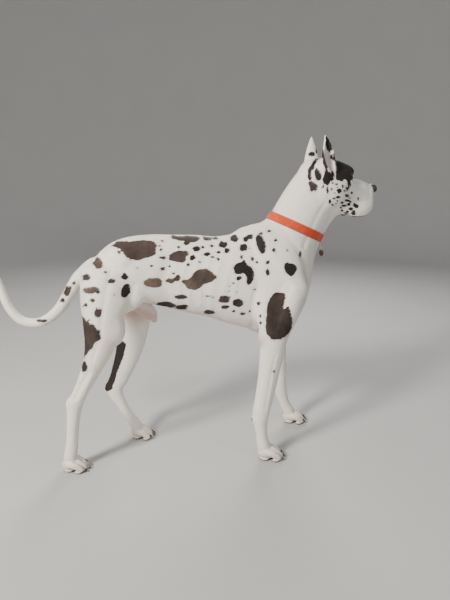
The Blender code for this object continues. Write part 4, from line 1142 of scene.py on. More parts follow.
class Nodes:
    """Short way of writing a material's nodes."""

    def __init__(self, name, **values):
        self.material = bpy.data.materials.new(name)
        self.material.use_nodes = True
        self.tree = self.material.node_tree
        self.shader = self.tree.nodes["Principled BSDF"]
        for key, value in values.items():
            self.shader.inputs[key.replace("_", " ")].default_value = value

    def node(self, kind, *links, **settings):
        n = self.tree.nodes.new("ShaderNode" + kind)
        for key, value in settings.items():
            if hasattr(n, key):
                setattr(n, key, value)
            else:
                n.inputs[key.replace("_", " ")].default_value = value
        for name, source in links:
            self.tree.links.new(source, n.inputs[name])
        return n

    def math(self, operation, a, b=0.0, clamp=False):
        n = self.tree.nodes.new("ShaderNodeMath")
        n.operation, n.use_clamp = operation, clamp
        for socket, value in zip(n.inputs, (a, b)):
            if isinstance(value, (int, float)):
                socket.default_value = value
            else:
                self.tree.links.new(value, socket)
        return n.outputs[0]

    def mix(self, factor, a, b, blend="MIX"):
        n = self.tree.nodes.new("ShaderNodeMix")
        n.data_type, n.blend_type = "RGBA", blend
        for socket, value in ((n.inputs[0], factor), (n.inputs[6], a), (n.inputs[7], b)):
            if isinstance(value, (int, float)):
                socket.default_value = value
            elif isinstance(value, tuple):
                socket.default_value = (*value, 1.0)
            else:
                self.tree.links.new(value, socket)
        return n.outputs[2]

    def spread(self, value, low, high, to_low=0.0, to_high=1.0, smooth=True):
        kind = "SMOOTHSTEP" if smooth else "LINEAR"
        n = self.node("MapRange", ("Value", value), interpolation_type=kind)
        for key, number in (("From Min", low), ("From Max", high), ("To Min", to_low), ("To Max", to_high)):
            n.inputs[key].default_value = number
        return n.outputs[0]

    def number(self, name):
        return self.node("Attribute", attribute_name=name).outputs["Fac"]

    def noise(self, scale, detail=2.0, rough=0.5, where=None):
        n = self.node("TexNoise", Scale=scale, Detail=detail, Roughness=rough)
        self.tree.links.new(where or self.place(), n.inputs["Vector"])
        return n.outputs["Fac"]

    def place(self):
        if not hasattr(self, "spot"):
            self.spot = self.node("TexCoord").outputs["Object"]
        return self.spot

    def stretched(self, scale, tilt, scales, detail=2.0):
        """Noise drawn out along one direction, for hairs that lie that way."""
        m = self.node("Mapping", ("Vector", self.place()))
        m.inputs["Rotation"].default_value = (0, tilt, 0)
        m.inputs["Scale"].default_value = scales
        return self.noise(scale, detail, 0.6, m.outputs[0])

    def bump(self, height, distance, strength=1.0, under=None):
        n = self.node("Bump", ("Height", height), Distance=distance, Strength=strength)
        if under is not None:
            self.tree.links.new(under, n.inputs["Normal"])
        self.tree.links.new(n.outputs[0], self.shader.inputs["Normal"])
        return n.outputs[0]

    def colour(self, value):
        self.tree.links.new(value, self.shader.inputs["Base Color"])

    def roughness(self, value):
        self.tree.links.new(value, self.shader.inputs["Roughness"])


def coat_material(name, tufts):
    m = Nodes(name, Specular_IOR_Level=0.22, Anisotropic=0.35, Sheen_Weight=0.04, Sheen_Roughness=0.4)
    m.shader.inputs["Sheen Tint"].default_value = (1.0, 0.97, 0.93, 1.0)
    ragged = m.math("MULTIPLY", m.math("SUBTRACT", m.noise(75, 2.0), 0.5), 0.0085)
    ragged = m.math("ADD", ragged, m.math("MULTIPLY", m.math("SUBTRACT", m.noise(420, 2.0), 0.5), 0.0042))
    edge = m.math("ADD", m.number("mark"), ragged)
    white = m.spread(edge, -0.0009, 0.0009)
    near = m.spread(edge, 0.0, 0.010, 1.0, 0.0)
    sun = m.math("ADD", m.number("tone"), m.math("MULTIPLY", m.math("SUBTRACT", m.noise(24, 3.0), 0.5), 0.9))
    dark = m.mix(m.spread(sun, 0.05, 0.75), (0.0095, 0.0075, 0.0078), (0.052, 0.036, 0.031))
    dark = m.mix(m.spread(sun, 0.65, 1.35), dark, (0.190, 0.135, 0.100))
    dark = m.mix(m.math("MULTIPLY", m.noise(900, 2.0), 0.30), dark, (0.075, 0.054, 0.043))
    cream = m.mix(m.spread(m.noise(7, 3.0), 0.35, 0.7), (0.87, 0.84, 0.785), (0.89, 0.84, 0.755))
    cream = m.mix(m.math("MULTIPLY", m.noise(620, 2.0), 0.18), cream, (0.60, 0.53, 0.46))
    cream = m.mix(m.math("MULTIPLY", near, 0.20), cream, (0.50, 0.46, 0.43))
    flecks = m.spread(m.noise(260, 2.0), 0.725, 0.77)
    flecked = m.math("MULTIPLY", flecks, m.math("MULTIPLY", m.number("flecks"), 0.8))
    cream = m.mix(flecked, cream, (0.07, 0.06, 0.055))
    cream = m.mix(m.number("soil"), cream, (0.60, 0.40, 0.28))
    coat = m.mix(white, dark, cream)
    if not tufts:
        mottle = m.spread(m.noise(120, 3.0), 0.40, 0.62)
        pink = m.mix(m.math("MULTIPLY", mottle, 0.5), (0.62, 0.32, 0.26), (0.50, 0.25, 0.21))
        leather = m.mix(m.math("MULTIPLY", mottle, 0.5), (0.030, 0.022, 0.023), (0.075, 0.050, 0.048))
        skin = m.mix(m.math("MULTIPLY", m.number("rose"), white), leather, pink)
        coat = m.mix(m.number("bare"), coat, skin)
    m.colour(coat)
    m.roughness(m.spread(m.noise(300, 2.0), 0.2, 0.8, 0.50, 0.72, False))
    around = m.node("Tangent", direction_type="RADIAL", axis="X")
    m.tree.links.new(around.outputs[0], m.shader.inputs["Tangent"])
    if not tufts:
        back = m.stretched(1.0, math.radians(-16), (70, 620, 620))
        slant = m.stretched(1.0, math.radians(-52), (70, 620, 620))
        down = m.stretched(1.0, math.radians(-82), (70, 620, 620))
        hairs = m.mix(m.number("slant"), back, slant)
        hairs = m.mix(m.number("down"), hairs, down)
        height = m.math("MULTIPLY", hairs, m.math("SUBTRACT", 1.0, m.number("bare")))
        grain = m.node("TexVoronoi", ("Vector", m.place()), Scale=760.0).outputs["Distance"]
        height = m.math("ADD", height, m.math("MULTIPLY", m.math("MULTIPLY", grain, m.number("bare")), 0.5))
        fine = m.bump(height, 0.0011, 0.55)
        m.bump(m.noise(46, 3.0), 0.0012, 0.35, fine)
    return m.material


def leather_material():
    m = Nodes("nose_leather", Specular_IOR_Level=0.5, Coat_Weight=0.35, Coat_Roughness=0.22)
    cells = m.node("TexVoronoi", ("Vector", m.place()), Scale=720.0)
    blush = m.spread(m.noise(95, 3.0), 0.58, 0.70)
    base = m.mix(m.spread(m.noise(300, 2.0), 0.3, 0.7), (0.016, 0.012, 0.014), (0.040, 0.028, 0.033))
    m.colour(m.mix(m.math("MULTIPLY", blush, 0.55), base, (0.20, 0.105, 0.115)))
    m.roughness(m.spread(cells.outputs["Distance"], 0.0, 0.6, 0.32, 0.55, False))
    m.bump(cells.outputs["Distance"], 0.0005, 0.8)
    return m.material


def eye_material():
    wet = {"Coat_Weight": 1.0, "Coat_Roughness": 0.015, "Coat_IOR": 1.376}
    m = Nodes("eye_surface", Roughness=0.12, Specular_IOR_Level=0.6, **wet)
    polar = m.number("polar")
    streak = m.noise(6.0, 4.0, 0.7, m.node("Attribute", attribute_name="iris").outputs["Vector"])
    iris = m.mix(m.spread(streak, 0.3, 0.7), (0.030, 0.011, 0.004), (0.105, 0.045, 0.014))
    iris = m.mix(m.spread(polar, 0.38, 0.47), iris, (0.010, 0.006, 0.004))
    eye = m.mix(m.spread(polar, 0.175, 0.195), (0.002, 0.002, 0.002), iris)
    veins = m.spread(m.noise(330, 4.0, 0.7), 0.58, 0.68)
    white = m.mix(m.math("MULTIPLY", veins, 0.5), (0.10, 0.075, 0.062), (0.14, 0.050, 0.040))
    m.colour(m.mix(m.spread(polar, 0.47, 0.53), eye, white))
    return m.material


def claw_material():
    m = Nodes("claw_horn", Roughness=0.38, Specular_IOR_Level=0.45)
    grain = m.stretched(1.0, 0.5, (90, 900, 900), 3.0)
    pale = m.mix(m.spread(grain, 0.3, 0.7), (0.46, 0.36, 0.27), (0.28, 0.20, 0.145))
    horn = m.mix(m.spread(m.noise(55, 1.0), 0.49, 0.53), pale, (0.035, 0.026, 0.022))
    m.colour(horn)
    m.bump(grain, 0.0004, 0.6)
    return m.material


def web_material():
    """Nylon webbing, orange red, from the band's own map: across it in V, along it in U."""
    fuzz = {"Sheen_Weight": 0.25, "Sheen_Roughness": 0.35}
    m = Nodes("collar_webbing", Roughness=0.62, Specular_IOR_Level=0.35, **fuzz)
    uv = m.node("UVMap", uv_map="band").outputs[0]
    apart = m.node("SeparateXYZ", ("Vector", uv))
    u, v = apart.outputs[0], apart.outputs[1]
    turn = 2 * math.pi
    ribs = m.math("SINE", m.math("MULTIPLY", v, turn * 15))
    picks = m.math("SINE", m.math("ADD", m.math("MULTIPLY", u, turn * 330), m.math("MULTIPLY", ribs, 1.3)))
    weave = m.math("ADD", m.math("MULTIPLY", ribs, 0.5), m.math("MULTIPLY", picks, 0.35))
    worn = m.spread(m.noise(60, 4.0), 0.45, 0.75)
    base = m.mix(m.spread(weave, -0.8, 0.8), (0.42, 0.030, 0.008), (0.78, 0.085, 0.022))
    base = m.mix(m.math("MULTIPLY", worn, 0.30), base, (0.80, 0.20, 0.09))
    edge = m.spread(m.math("ABSOLUTE", m.math("SUBTRACT", v, 0.5)), 0.42, 0.5)
    m.colour(m.mix(m.math("MULTIPLY", edge, 0.35), base, (0.30, 0.025, 0.010)))
    m.bump(weave, 0.0005, 0.7)
    return m.material


def thread_material():
    m = Nodes("stitch_thread", Roughness=0.55, Sheen_Weight=0.3)
    m.colour(m.mix(m.spread(m.noise(900, 2.0), 0.3, 0.7), (0.62, 0.06, 0.015), (0.88, 0.16, 0.05)))
    m.bump(m.noise(2600, 2.0), 0.0002, 0.6)
    return m.material


def metal_material():
    m = Nodes("ring_steel", Metallic=1.0, Specular_IOR_Level=0.5)
    m.colour(m.mix(m.spread(m.noise(240, 4.0), 0.5, 0.7), (0.56, 0.55, 0.53), (0.34, 0.32, 0.29)))
    m.roughness(m.spread(m.noise(500, 3.0), 0.3, 0.7, 0.18, 0.42, False))
    m.bump(m.noise(1500, 2.0), 0.0001, 0.4)
    return m.material


def tag_material():
    m = Nodes("tag_enamel", Coat_Weight=0.4, Coat_Roughness=0.12)
    rim = m.number("rim")
    enamel = m.mix(m.spread(m.noise(420, 3.0), 0.4, 0.7), (0.020, 0.017, 0.018), (0.055, 0.045, 0.045))
    red = m.mix(m.spread(m.noise(300, 3.0), 0.5, 0.7), (0.42, 0.030, 0.018), (0.22, 0.03, 0.02))
    m.colour(m.mix(rim, enamel, red))
    m.roughness(m.spread(m.noise(700, 3.0), 0.3, 0.7, 0.22, 0.45, False))
    m.bump(m.noise(900, 3.0), 0.0002, 0.4)
    return m.material


# ---- the lie of the coat


def nearest_way(stations, p):
    """Direction of a tube's line at its point nearest to each of p, and how far that point is."""
    s = curve(stations)[:, :3]
    way = np.gradient(s, axis=0)
    way /= np.linalg.norm(way, axis=1)[:, None]
    far = np.sqrt(((p[:, None] - s[None]) ** 2).sum(2))
    i = far.argmin(1)
    return way[i], far[np.arange(len(p)), i]


def lie(p, n):
    """Direction in which the hairs point, along the skin."""
    head = to_head(p)
    way = np.tile((-1.0, 0.0, -0.28), (len(p), 1))

    def blend(weight, direction):
        nonlocal way
        direction = np.asarray(direction, float)
        way = way * (1 - weight[:, None]) + weight[:, None] * direction

    blend(ramp(p[:, 0], 0.36, 0.50) * ramp(p[:, 2], 0.70, 0.80), (-0.60, 0.0, -0.80))
    blend(ramp(p[:, 0], 0.44, 0.53) * ramp(p[:, 2], 0.80, 0.72), (-0.25, 0.0, -1.0))
    blend(ramp(p[:, 0], -0.08, -0.20) * ramp(p[:, 2], 0.72, 0.62), (-0.40, 0.0, -1.0))
    blend(ramp(p[:, 2], 0.56, 0.47) * (p[:, 0] > 0.2), (-0.15, 0.0, -1.0))
    blend(ramp(p[:, 2], 0.56, 0.47) * (p[:, 0] <= 0.2), (-0.30, 0.0, -1.0))
    blend(ramp(p[:, 2], 0.095, 0.05), (0.75, 0.0, -0.65))
    tail = p[:, 0] < -0.20
    if tail.any():
        along, far = nearest_way(TAIL, p[tail])
        w = np.zeros(len(p))
        full = np.zeros_like(p)
        w[tail] = ramp(far, 0.045, 0.030) * ramp(p[tail, 0], -0.215, -0.25)
        full[tail] = along
        way = way * (1 - w[:, None]) + w[:, None] * full
    c, s = math.cos(HEAD_TURN), math.sin(HEAD_TURN)
    face = ramp(head[:, 0], -0.05, 0.02) * ramp(p[:, 2], 0.83, 0.86) * (p[:, 0] > 0.5)
    blend(face, (-c, -s, 0.0))
    blend(ramp(head[:, 0], 0.19, 0.22) * face, (-0.2 * c, -0.2 * s, -1.0))
    ear = (p[:, 2] > 1.03) & (np.abs(head[:, 1]) > 0.030) & (head[:, 0] < 0.02)
    blend(np.where(ear, ramp(p[:, 2], 1.035, 1.06), 0.0), (-0.1, 0.0, 1.0))
    way = way - n * (way * n).sum(1)[:, None]
    return way / np.maximum(np.linalg.norm(way, axis=1), 1e-6)[:, None]


# Lower edge of the hanging lip, from the front to the corner of the mouth, in the head's own frame
FLEW_EDGE = (
    (0.190, 0.024, 0.876),
    (0.170, 0.034, 0.868),
    (0.150, 0.039, 0.8625),
    (0.120, 0.042, 0.860),
    (0.092, 0.042, 0.863),
)


def bare_skin(p, n):
    """How bare the skin is, and how pink, from 0 to 1."""
    bare, rose = np.zeros(len(p)), np.zeros(len(p))

    def put(amount, pink):
        nonlocal bare, rose
        rose = np.where(amount > bare, pink, rose)
        bare = np.maximum(bare, amount)

    h = to_head(p)
    h[:, 1] = np.abs(h[:, 1])
    near = (h[:, 0] > -0.10) & (h[:, 0] < 0.26) & (p[:, 2] > 0.83) & (h[:, 1] < 0.11)
    at = np.nonzero(near)[0]
    q = h[at]

    def on_face(share, pink):
        amount = np.zeros(len(p))
        amount[at] = share
        put(amount, pink)

    # inside of the ears, the lips, the lids, the flews' edge and the rim of the nose
    mouth, cup, lids = HEAD_CUTS[0], HEAD_CUTS[2], HEAD_CUTS[-1]
    on_face(ramp(cup(q), 0.0012, 0.0) * ramp(q[:, 2], 1.120, 1.100) * 0.92, 0.85)
    on_face(ramp(mouth(q), 0.0026, 0.0008) * (q[:, 0] > 0.055), 0.12)
    on_face(ramp(lids(q), 0.0030, 0.0014) * (q[:, 1] > 0.02), 0.05)
    on_face(ramp(np.sqrt(from_line(q, np.array(FLEW_EDGE))), 0.0052, 0.0030) * 0.95, 0.08)
    on_face(ramp(melted(NOSE, q), 0.0030, 0.0012), 0.10)
    # pads under the feet
    pads = np.zeros(len(p))
    for x, y, size in PAWS.values():
        far = np.hypot(p[:, 0] - x + 0.010, p[:, 1] - y)
        pads = np.maximum(pads, (far < 0.07) * ramp(p[:, 2], 0.012, 0.007) * ramp(n[:, 2], 0.25, -0.25))
    put(pads, 0.15)
    # carpal pads, groin and sheath
    for c, r, pink in (
        ((0.328, -0.1235, 0.160), 0.011, 0.2),
        ((0.464, 0.1235, 0.160), 0.011, 0.2),
        ((0.000, 0.0, 0.506), 0.012, 0.95),
    ):
        put(ramp(np.linalg.norm(p - c, axis=1), r, 0.6 * r), pink)
    thin = ramp(p[:, 2], 0.60, 0.555) * ramp(np.abs(p[:, 1]), 0.085, 0.05)
    thin *= ramp(p[:, 0], -0.22, -0.16) * ramp(p[:, 0], 0.06, 0.0)
    thin *= ramp(n[:, 2], 0.35, -0.1) * ramp(p[:, 2], 0.45, 0.53)
    put(0.62 * thin, 0.95)
    return bare, rose


# ---- the coat's tufts


def unwrapped(points, faces):
    """A coarse copy of the skin with its own unwrap, to place the tufts on a map."""
    mesh = bpy.data.meshes.new("unwrap")
    mesh.from_pydata(points.tolist(), [], faces.tolist())
    obj = bpy.data.objects.new("unwrap", mesh)
    bpy.context.scene.collection.objects.link(obj)
    thin = obj.modifiers.new("thin", "DECIMATE")
    thin.ratio = 9000 / (2 * len(faces))
    bpy.context.view_layer.objects.active = obj
    obj.select_set(True)
    bpy.ops.object.modifier_apply(modifier="thin")
    bpy.ops.object.mode_set(mode="EDIT")
    bpy.ops.mesh.select_all(action="SELECT")
    bpy.ops.uv.smart_project(angle_limit=math.radians(66), island_margin=0.004)
    bpy.ops.object.mode_set(mode="OBJECT")
    mesh = obj.data
    mesh.calc_loop_triangles()
    co = np.empty(len(mesh.vertices) * 3)
    mesh.vertices.foreach_get("co", co)
    co = co.reshape(-1, 3)
    uv = np.empty(len(mesh.loops) * 2)
    mesh.uv_layers[0].data.foreach_get("uv", uv)
    uv = uv.reshape(-1, 2)
    tris = np.empty(len(mesh.loop_triangles) * 3, int)
    loops = np.empty(len(mesh.loop_triangles) * 3, int)
    mesh.loop_triangles.foreach_get("vertices", tris)
    mesh.loop_triangles.foreach_get("loops", loops)
    tris, loops = tris.reshape(-1, 3), loops.reshape(-1, 3)
    tree = BVHTree.FromPolygons(co.tolist(), tris.tolist())
    bpy.data.objects.remove(obj)
    return tree, co[tris], uv[loops]


def map_places(unwrap, roots):
    tree, corners, uv = unwrap
    which = np.array([tree.find_nearest(Vector(r))[2] for r in roots])
    a, b, c = corners[which, 0], corners[which, 1], corners[which, 2]
    ab, ac, ap = b - a, c - a, roots - a
    d00, d01, d11 = (ab * ab).sum(1), (ab * ac).sum(1), (ac * ac).sum(1)
    d20, d21 = (ap * ab).sum(1), (ap * ac).sum(1)
    det = np.maximum(d00 * d11 - d01 * d01, 1e-16)
    v = np.clip((d11 * d20 - d01 * d21) / det, 0, 1)
    w = np.clip((d00 * d21 - d01 * d20) / det, 0, 1 - v)
    u = 1 - v - w
    return u[:, None] * uv[which, 0] + v[:, None] * uv[which, 1] + w[:, None] * uv[which, 2]


def coat_sizes(p, n):
    """Length of the hairs, how far they stand up, and how many grow, over the body."""
    h = to_head(p)
    length = np.full(len(p), 0.0068)
    stand = np.full(len(p), 0.075)
    rate = np.ones(len(p))
    thigh = ramp(n[:, 0], -0.3, -0.75) * (p[:, 2] > 0.33) * (p[:, 0] < 0.0) * (p[:, 2] < 0.72)
    brisket = ramp(n[:, 2], -0.3, -0.8) * (p[:, 0] > 0.0) * (p[:, 2] > 0.44) * (p[:, 2] < 0.62)
    front = ramp(n[:, 0], 0.3, 0.8) * (p[:, 0] > 0.40) * (p[:, 2] > 0.44) * (p[:, 2] < 0.82)
    crest = ramp(n[:, 2], 0.3, 0.8) * ramp(p[:, 0], 0.30, 0.40) * ramp(p[:, 0], 0.60, 0.52)
    tail = ramp(p[:, 0], -0.26, -0.30) * ramp(n[:, 2], 0.1, -0.6)
    extra = np.maximum.reduce([thigh, brisket, front, 0.6 * crest, tail])
    length += 0.0020 * extra
    stand += 0.06 * extra
    rate += 0.5 * extra
    leg = ramp(p[:, 2], 0.46, 0.36)
    length = length * (1 - leg) + 0.0055 * leg
    foot = ramp(p[:, 2], 0.11, 0.07)
    length = length * (1 - foot) + 0.0030 * foot
    rate = rate * (1 + 0.8 * leg) * (1 + 1.2 * foot)
    face = ramp(h[:, 0], -0.03, 0.04) * (p[:, 0] > 0.5) * ramp(p[:, 2], 0.84, 0.87)
    length = length * (1 - face) + 0.0034 * face
    rate = rate * (1 + 1.6 * face)
    ear = (p[:, 2] > 1.035) & (np.abs(h[:, 1]) > 0.030) & (h[:, 0] < 0.02)
    length = np.where(ear, 0.0040, length)
    rate = np.where(ear, 2.4, rate)
    return length, stand * (1 - 0.35 * face), rate


def grow(points, normals, faces, carried, mat):
    """Tufts all over: tapering blades of three triangles, rooted in the skin and lying along it."""
    rng = np.random.default_rng(8)
    tris = np.vstack((faces[:, [0, 1, 2]], faces[:, [0, 2, 3]]))
    a, b, c = points[tris[:, 0]], points[tris[:, 1]], points[tris[:, 2]]
    area = 0.5 * np.linalg.norm(np.cross(b - a, c - a), axis=1)
    middle, out = (a + b + c) / 3, normals[tris[:, 0]]
    band = np.abs(above_collar(middle)) < 0.5 * COLLAR_WIDTH + 0.001
    band &= (middle[:, 0] > 0.38) & (middle[:, 2] > 0.74)
    rate = coat_sizes(middle, out)[2]
    bare = carried["bare"][tris].mean(1)
    rate = np.where(band | (bare > 0.55), 0.0, rate) * (1 - 0.6 * bare)
    rate = np.where((middle[:, 2] < 0.006), 0.0, rate)
    total = TUFTS
    pick = rng.choice(len(tris), total, p=area * rate / (area * rate).sum())
    u, v = rng.random(total), rng.random(total)
    flip = u + v > 1
    u, v = np.where(flip, 1 - u, u), np.where(flip, 1 - v, v)
    weights = np.stack((1 - u - v, u, v), 1)

    def at(values):
        w = weights if values.ndim == 1 else weights[..., None]
        return (values[tris[pick]] * w).sum(1)

    root, n = at(points), at(normals)
    n /= np.linalg.norm(n, axis=1)[:, None]
    way = lie(root, n)
    length, stand, _ = coat_sizes(root, n)
    length = length * (0.75 + 0.5 * rng.random(total))
    swing = 0.16 * rng.standard_normal(total)
    side = np.cross(n, way)
    way = way * np.cos(swing)[:, None] + side * np.sin(swing)[:, None]
    side = np.cross(n, way)
    up = np.clip(stand * (0.7 + 0.6 * rng.random(total)), 0, 0.5)
    half = (0.00026 + 0.030 * length) * (0.8 + 0.4 * rng.random(total))
    start = root - n * 0.0003
    bend = root + way * (0.50 * length)[:, None] + n * (0.50 * length * up + 0.00015)[:, None]
    tip = root + way * length[:, None] + n * (length * up * 0.80 + 0.0001)[:, None]
    body = np.stack(
        (start - side * half[:, None], start + side * half[:, None],
         bend - side * 0.9 * half[:, None], bend + side * 0.9 * half[:, None], tip), 1
    )
    shade = n + 0.10 * rng.standard_normal((total, 3))
    shade /= np.linalg.norm(shade, axis=1)[:, None]
    spots = map_places(unwrapped(points, faces), root)
    patch = np.array(((0, 0), (1, 0), (0, 0.5), (1, 0.5), (0.5, 1))) * 0.003 - 0.0015
    shape = np.array(((0, 3, 1), (0, 2, 3), (2, 4, 3)))
    h = to_head(root)
    head = (h[:, 0] > -0.11) & (root[:, 2] > 0.84)
    group = np.where(head, 0, np.where(root[:, 2] < 0.40, 1, np.where(root[:, 0] > 0.17, 2, 3)))
    names = ("coat_head", "coat_legs", "coat_fore", "coat_hind")
    for g, name in enumerate(names):
        mine = np.nonzero(group == g)[0]
        m = len(mine)
        tri = (np.arange(m)[:, None, None] * 5 + shape[None]).reshape(-1, 3)
        obj = add(name, body[mine].reshape(-1, 3) - SHIFT, tri, mat)
        obj.data.normals_split_custom_set_from_vertices(np.repeat(shade[mine], 5, 0).tolist())
        for key, values in carried.items():
            carry(obj, key, np.repeat(at(values)[mine], 5))
        uv = (spots[mine][:, None, :] + patch[None]).reshape(-1, 2)
        corner = np.empty(len(obj.data.loops), np.int32)
        obj.data.loops.foreach_get("vertex_index", corner)
        layer = obj.data.uv_layers.new(name="OFBake")
        layer.data.foreach_set("uv", uv[corner].astype(np.float32).ravel())


# ---- eyes, nose, claws, whiskers


def eye(name, side, mat):
    bm = bmesh.new()
    bmesh.ops.create_uvsphere(bm, u_segments=64, v_segments=64, radius=EYE_RADIUS - 0.0002)
    mesh = bpy.data.meshes.new(name)
    bm.to_mesh(mesh)
    bm.free()
    c, s = math.cos(HEAD_TURN), math.sin(HEAD_TURN)
    u, v, w = EYE_LOOK[0], EYE_LOOK[1] * side, EYE_LOOK[2]
    look = Vector((u * c - v * s, u * s + v * c, w)).normalized()
    co = np.empty(len(mesh.vertices) * 3)
    mesh.vertices.foreach_get("co", co)
    co = co.reshape(-1, 3)
    polar = np.arccos(np.clip(co[:, 2] / (EYE_RADIUS - 0.0002), -1, 1))
    turn = np.arctan2(co[:, 1], co[:, 0])
    # the clear cornea stands out over the iris
    co *= (1 + 0.055 * np.exp(-((polar / 0.42) ** 2)))[:, None]
    turned = co @ np.array(look.to_track_quat("Z", "Y").to_matrix()).T
    points = turned + np.array(from_head((EYE[0], EYE[1] * side, EYE[2]))) - SHIFT
    mesh.vertices.foreach_set("co", points.ravel())
    mesh.shade_smooth()
    obj = settled(name, mesh, mat)
    carry(obj, "polar", polar)
    layer = mesh.attributes.new("iris", "FLOAT_VECTOR", "POINT")
    data = np.stack((np.cos(turn) * 3, np.sin(turn) * 3, polar * 1.5), 1)
    layer.data.foreach_set("vector", data.astype(np.float32).ravel())
    return obj


def nose_piece(mat):
    def field(p):
        q = to_head(p)
        return carved(NOSTRILS, q, melted(NOSE, q)) + 0.0001

    middle = np.array(from_head((0.205, 0, 0.960)))
    points, normals, faces = surface(field, middle - 0.034, middle + 0.034, 0.0008)
    obj = add("nose_pad", points - SHIFT, faces, mat, normals)
    return obj


def swept(stations, sides, steps):
    """Points and faces of a tube with a closed start and a pointed end."""
    s = curve(stations, 0.0012)
    s = s[np.linspace(0, len(s) - 1, steps).astype(int)]
    way = np.gradient(s[:, :3], axis=0)
    way /= np.linalg.norm(way, axis=1)[:, None]
    wide = np.cross(way, np.cross((0.0, 1.0, 0.0), way))
    wide /= np.linalg.norm(wide, axis=1)[:, None]
    deep = np.cross(way, wide)
    turn = 2 * math.pi * np.arange(sides) / sides
    points = (
        s[:, None, :3]
        + wide[:, None] * (s[:, 4, None] * np.cos(turn))[..., None]
        + deep[:, None] * (s[:, 3, None] * np.sin(turn))[..., None]
    ).reshape(-1, 3)
    faces = []
    for i in range(steps - 1):
        for k in range(sides):
            m = (k + 1) % sides
            faces.append((i * sides + k, i * sides + m, (i + 1) * sides + m, (i + 1) * sides + k))
    points = np.vstack((points, s[0, :3], s[-1, :3] + way[-1] * 0.0008))
    for k in range(sides):
        m = (k + 1) % sides
        faces.append((len(points) - 2, m, k, k))
        end = (steps - 1) * sides
        faces.append((len(points) - 1, end + k, end + m, end + m))
    return points, [tuple(dict.fromkeys(f)) for f in faces]


def joined(name, bits, mat):
    points, faces, start = [], [], 0
    for p, f in bits:
        points.append(np.asarray(p))
        faces += [tuple(i + start for i in face) for face in f]
        start += len(p)
    mesh = bpy.data.meshes.new(name)
    mesh.from_pydata((np.vstack(points) - SHIFT).tolist(), [], faces)
    mesh.validate()
    outward(mesh)
    mesh.shade_smooth()
    return settled(name, mesh, mat)


def claws(mat):
    for label, (x, y, size) in PAWS.items():
        bits = []
        for spread_, ahead in ((-0.0285, -0.010), (-0.0100, 0.0), (0.0100, 0.0), (0.0285, -0.010)):
            s, f = y + spread_ * size, x + ahead * size
            stations = (
                (f + 0.040 * size, s, 0.0200 * size, 0.0040 * size, 0.0034 * size),
                (f + 0.047 * size, s, 0.0195 * size, 0.0044 * size, 0.0036 * size),
                (f + 0.053 * size, s, 0.0160 * size, 0.0036 * size, 0.0030 * size),
                (f + 0.0585 * size, s, 0.0090 * size, 0.0019 * size, 0.0017 * size),
                (f + 0.0600 * size, s, 0.0062 * size, 0.0009 * size, 0.0009 * size),
            )
            bits.append(swept(stations, 16, 14))
        joined("claws_" + label, bits, mat)


def whiskers(tree, mat):
    rng = np.random.default_rng(3)
    bits = []
    for side in (-1, 1):
        for row in range(4):
            for k in range(5):
                u, w = 0.198 - 0.014 * k + 0.004 * row, 0.935 - 0.0095 * row + 0.002 * k
                start = Vector(from_head((u, 0.08 * side, w)))
                way = Vector(from_head((u, 0, w))) - start
                place, normal, _, _ = tree.ray_cast(start, way.normalized())
                if place is None:
                    continue
                place, normal = np.array(place), np.array(normal)
                back = np.array(from_head((-1, 0, 0))) - np.array(from_head((0, 0, 0)))
                back[2] = 0
                d = 0.75 * normal + 0.65 * back + np.array((0, 0, -0.25)) + 0.12 * rng.standard_normal(3)
                d /= np.linalg.norm(d)
                long = 0.020 + 0.014 * rng.random()
                sag = np.array((0, 0, -0.12 * long))
                stations = []
                for t in (0, 0.3, 0.6, 1.0):
                    at = place + d * long * t + sag * t * t - normal * 0.0008 * (t == 0)
                    thick = 0.00024 * (1.05 - t)
                    stations.append((*at, thick, thick))
                bits.append(swept(stations, 5, 8))
    return joined("whiskers", bits, mat)


# ---- collar and tag


def band_point(turn, height, out, reach):
    way = np.array(COLLAR_AHEAD) * math.cos(turn) + np.array((0.0, 1.0, 0.0)) * math.sin(turn)
    return np.array(COLLAR_CENTRE) + np.array(COLLAR_AXIS) * height + way * (reach + out)


BAND_STEPS = 180  # round the neck


def collar_band(mat):
    """Closed band round the neck, with soft edges and a map for its weave."""
    steps = BAND_STEPS
    half, thick, soft = COLLAR_WIDTH / 2, COLLAR_THICKNESS - 0.0004, 0.0009
    section = [(-half + 0.0004, 0.0), (-half, 0.5 * soft), (-half, thick - soft), (-half + soft, thick)]
    for h in np.linspace(-half + 3 * soft, half - 3 * soft, 7):
        section.append((h, thick + 0.00012 * math.cos(h / half * math.pi)))
    section += [(-h, r) for h, r in section[3::-1]]
    turns = 2 * math.pi * np.arange(steps) / steps
    below, above = neck_reach(-half, turns), neck_reach(half, turns)
    points, count = [], len(section)
    for turn, under, over in zip(turns, below, above):
        for h, r in section:
            mixed = under + (over - under) * (h / COLLAR_WIDTH + 0.5)
            points.append(band_point(turn, h, r, mixed))
    faces = []
    for i in range(steps):
        j = (i + 1) % steps
        for k in range(count):
            m = (k + 1) % count
            faces.append((i * count + k, j * count + k, j * count + m, i * count + m))
    mesh = bpy.data.meshes.new("collar_webbing")
    mesh.from_pydata((np.array(points) - SHIFT).tolist(), [], faces)
    uv = mesh.uv_layers.new(name="band")
    for face in mesh.polygons:
        rows = [mesh.loops[i].vertex_index // count for i in face.loop_indices]
        wraps = max(rows) - min(rows) > 1
        for i, row in zip(face.loop_indices, rows):
            k = mesh.loops[i].vertex_index % count
            along = turns[row] / (2 * math.pi) + (1.0 if wraps and row == 0 else 0.0)
            uv.data[i].uv = (along, section[k][0] / COLLAR_WIDTH + 0.5)
    outward(mesh)
    mesh.shade_smooth()
    mesh.set_sharp_from_angle(angle=math.radians(55))
    return settled("collar_webbing", mesh, mat)


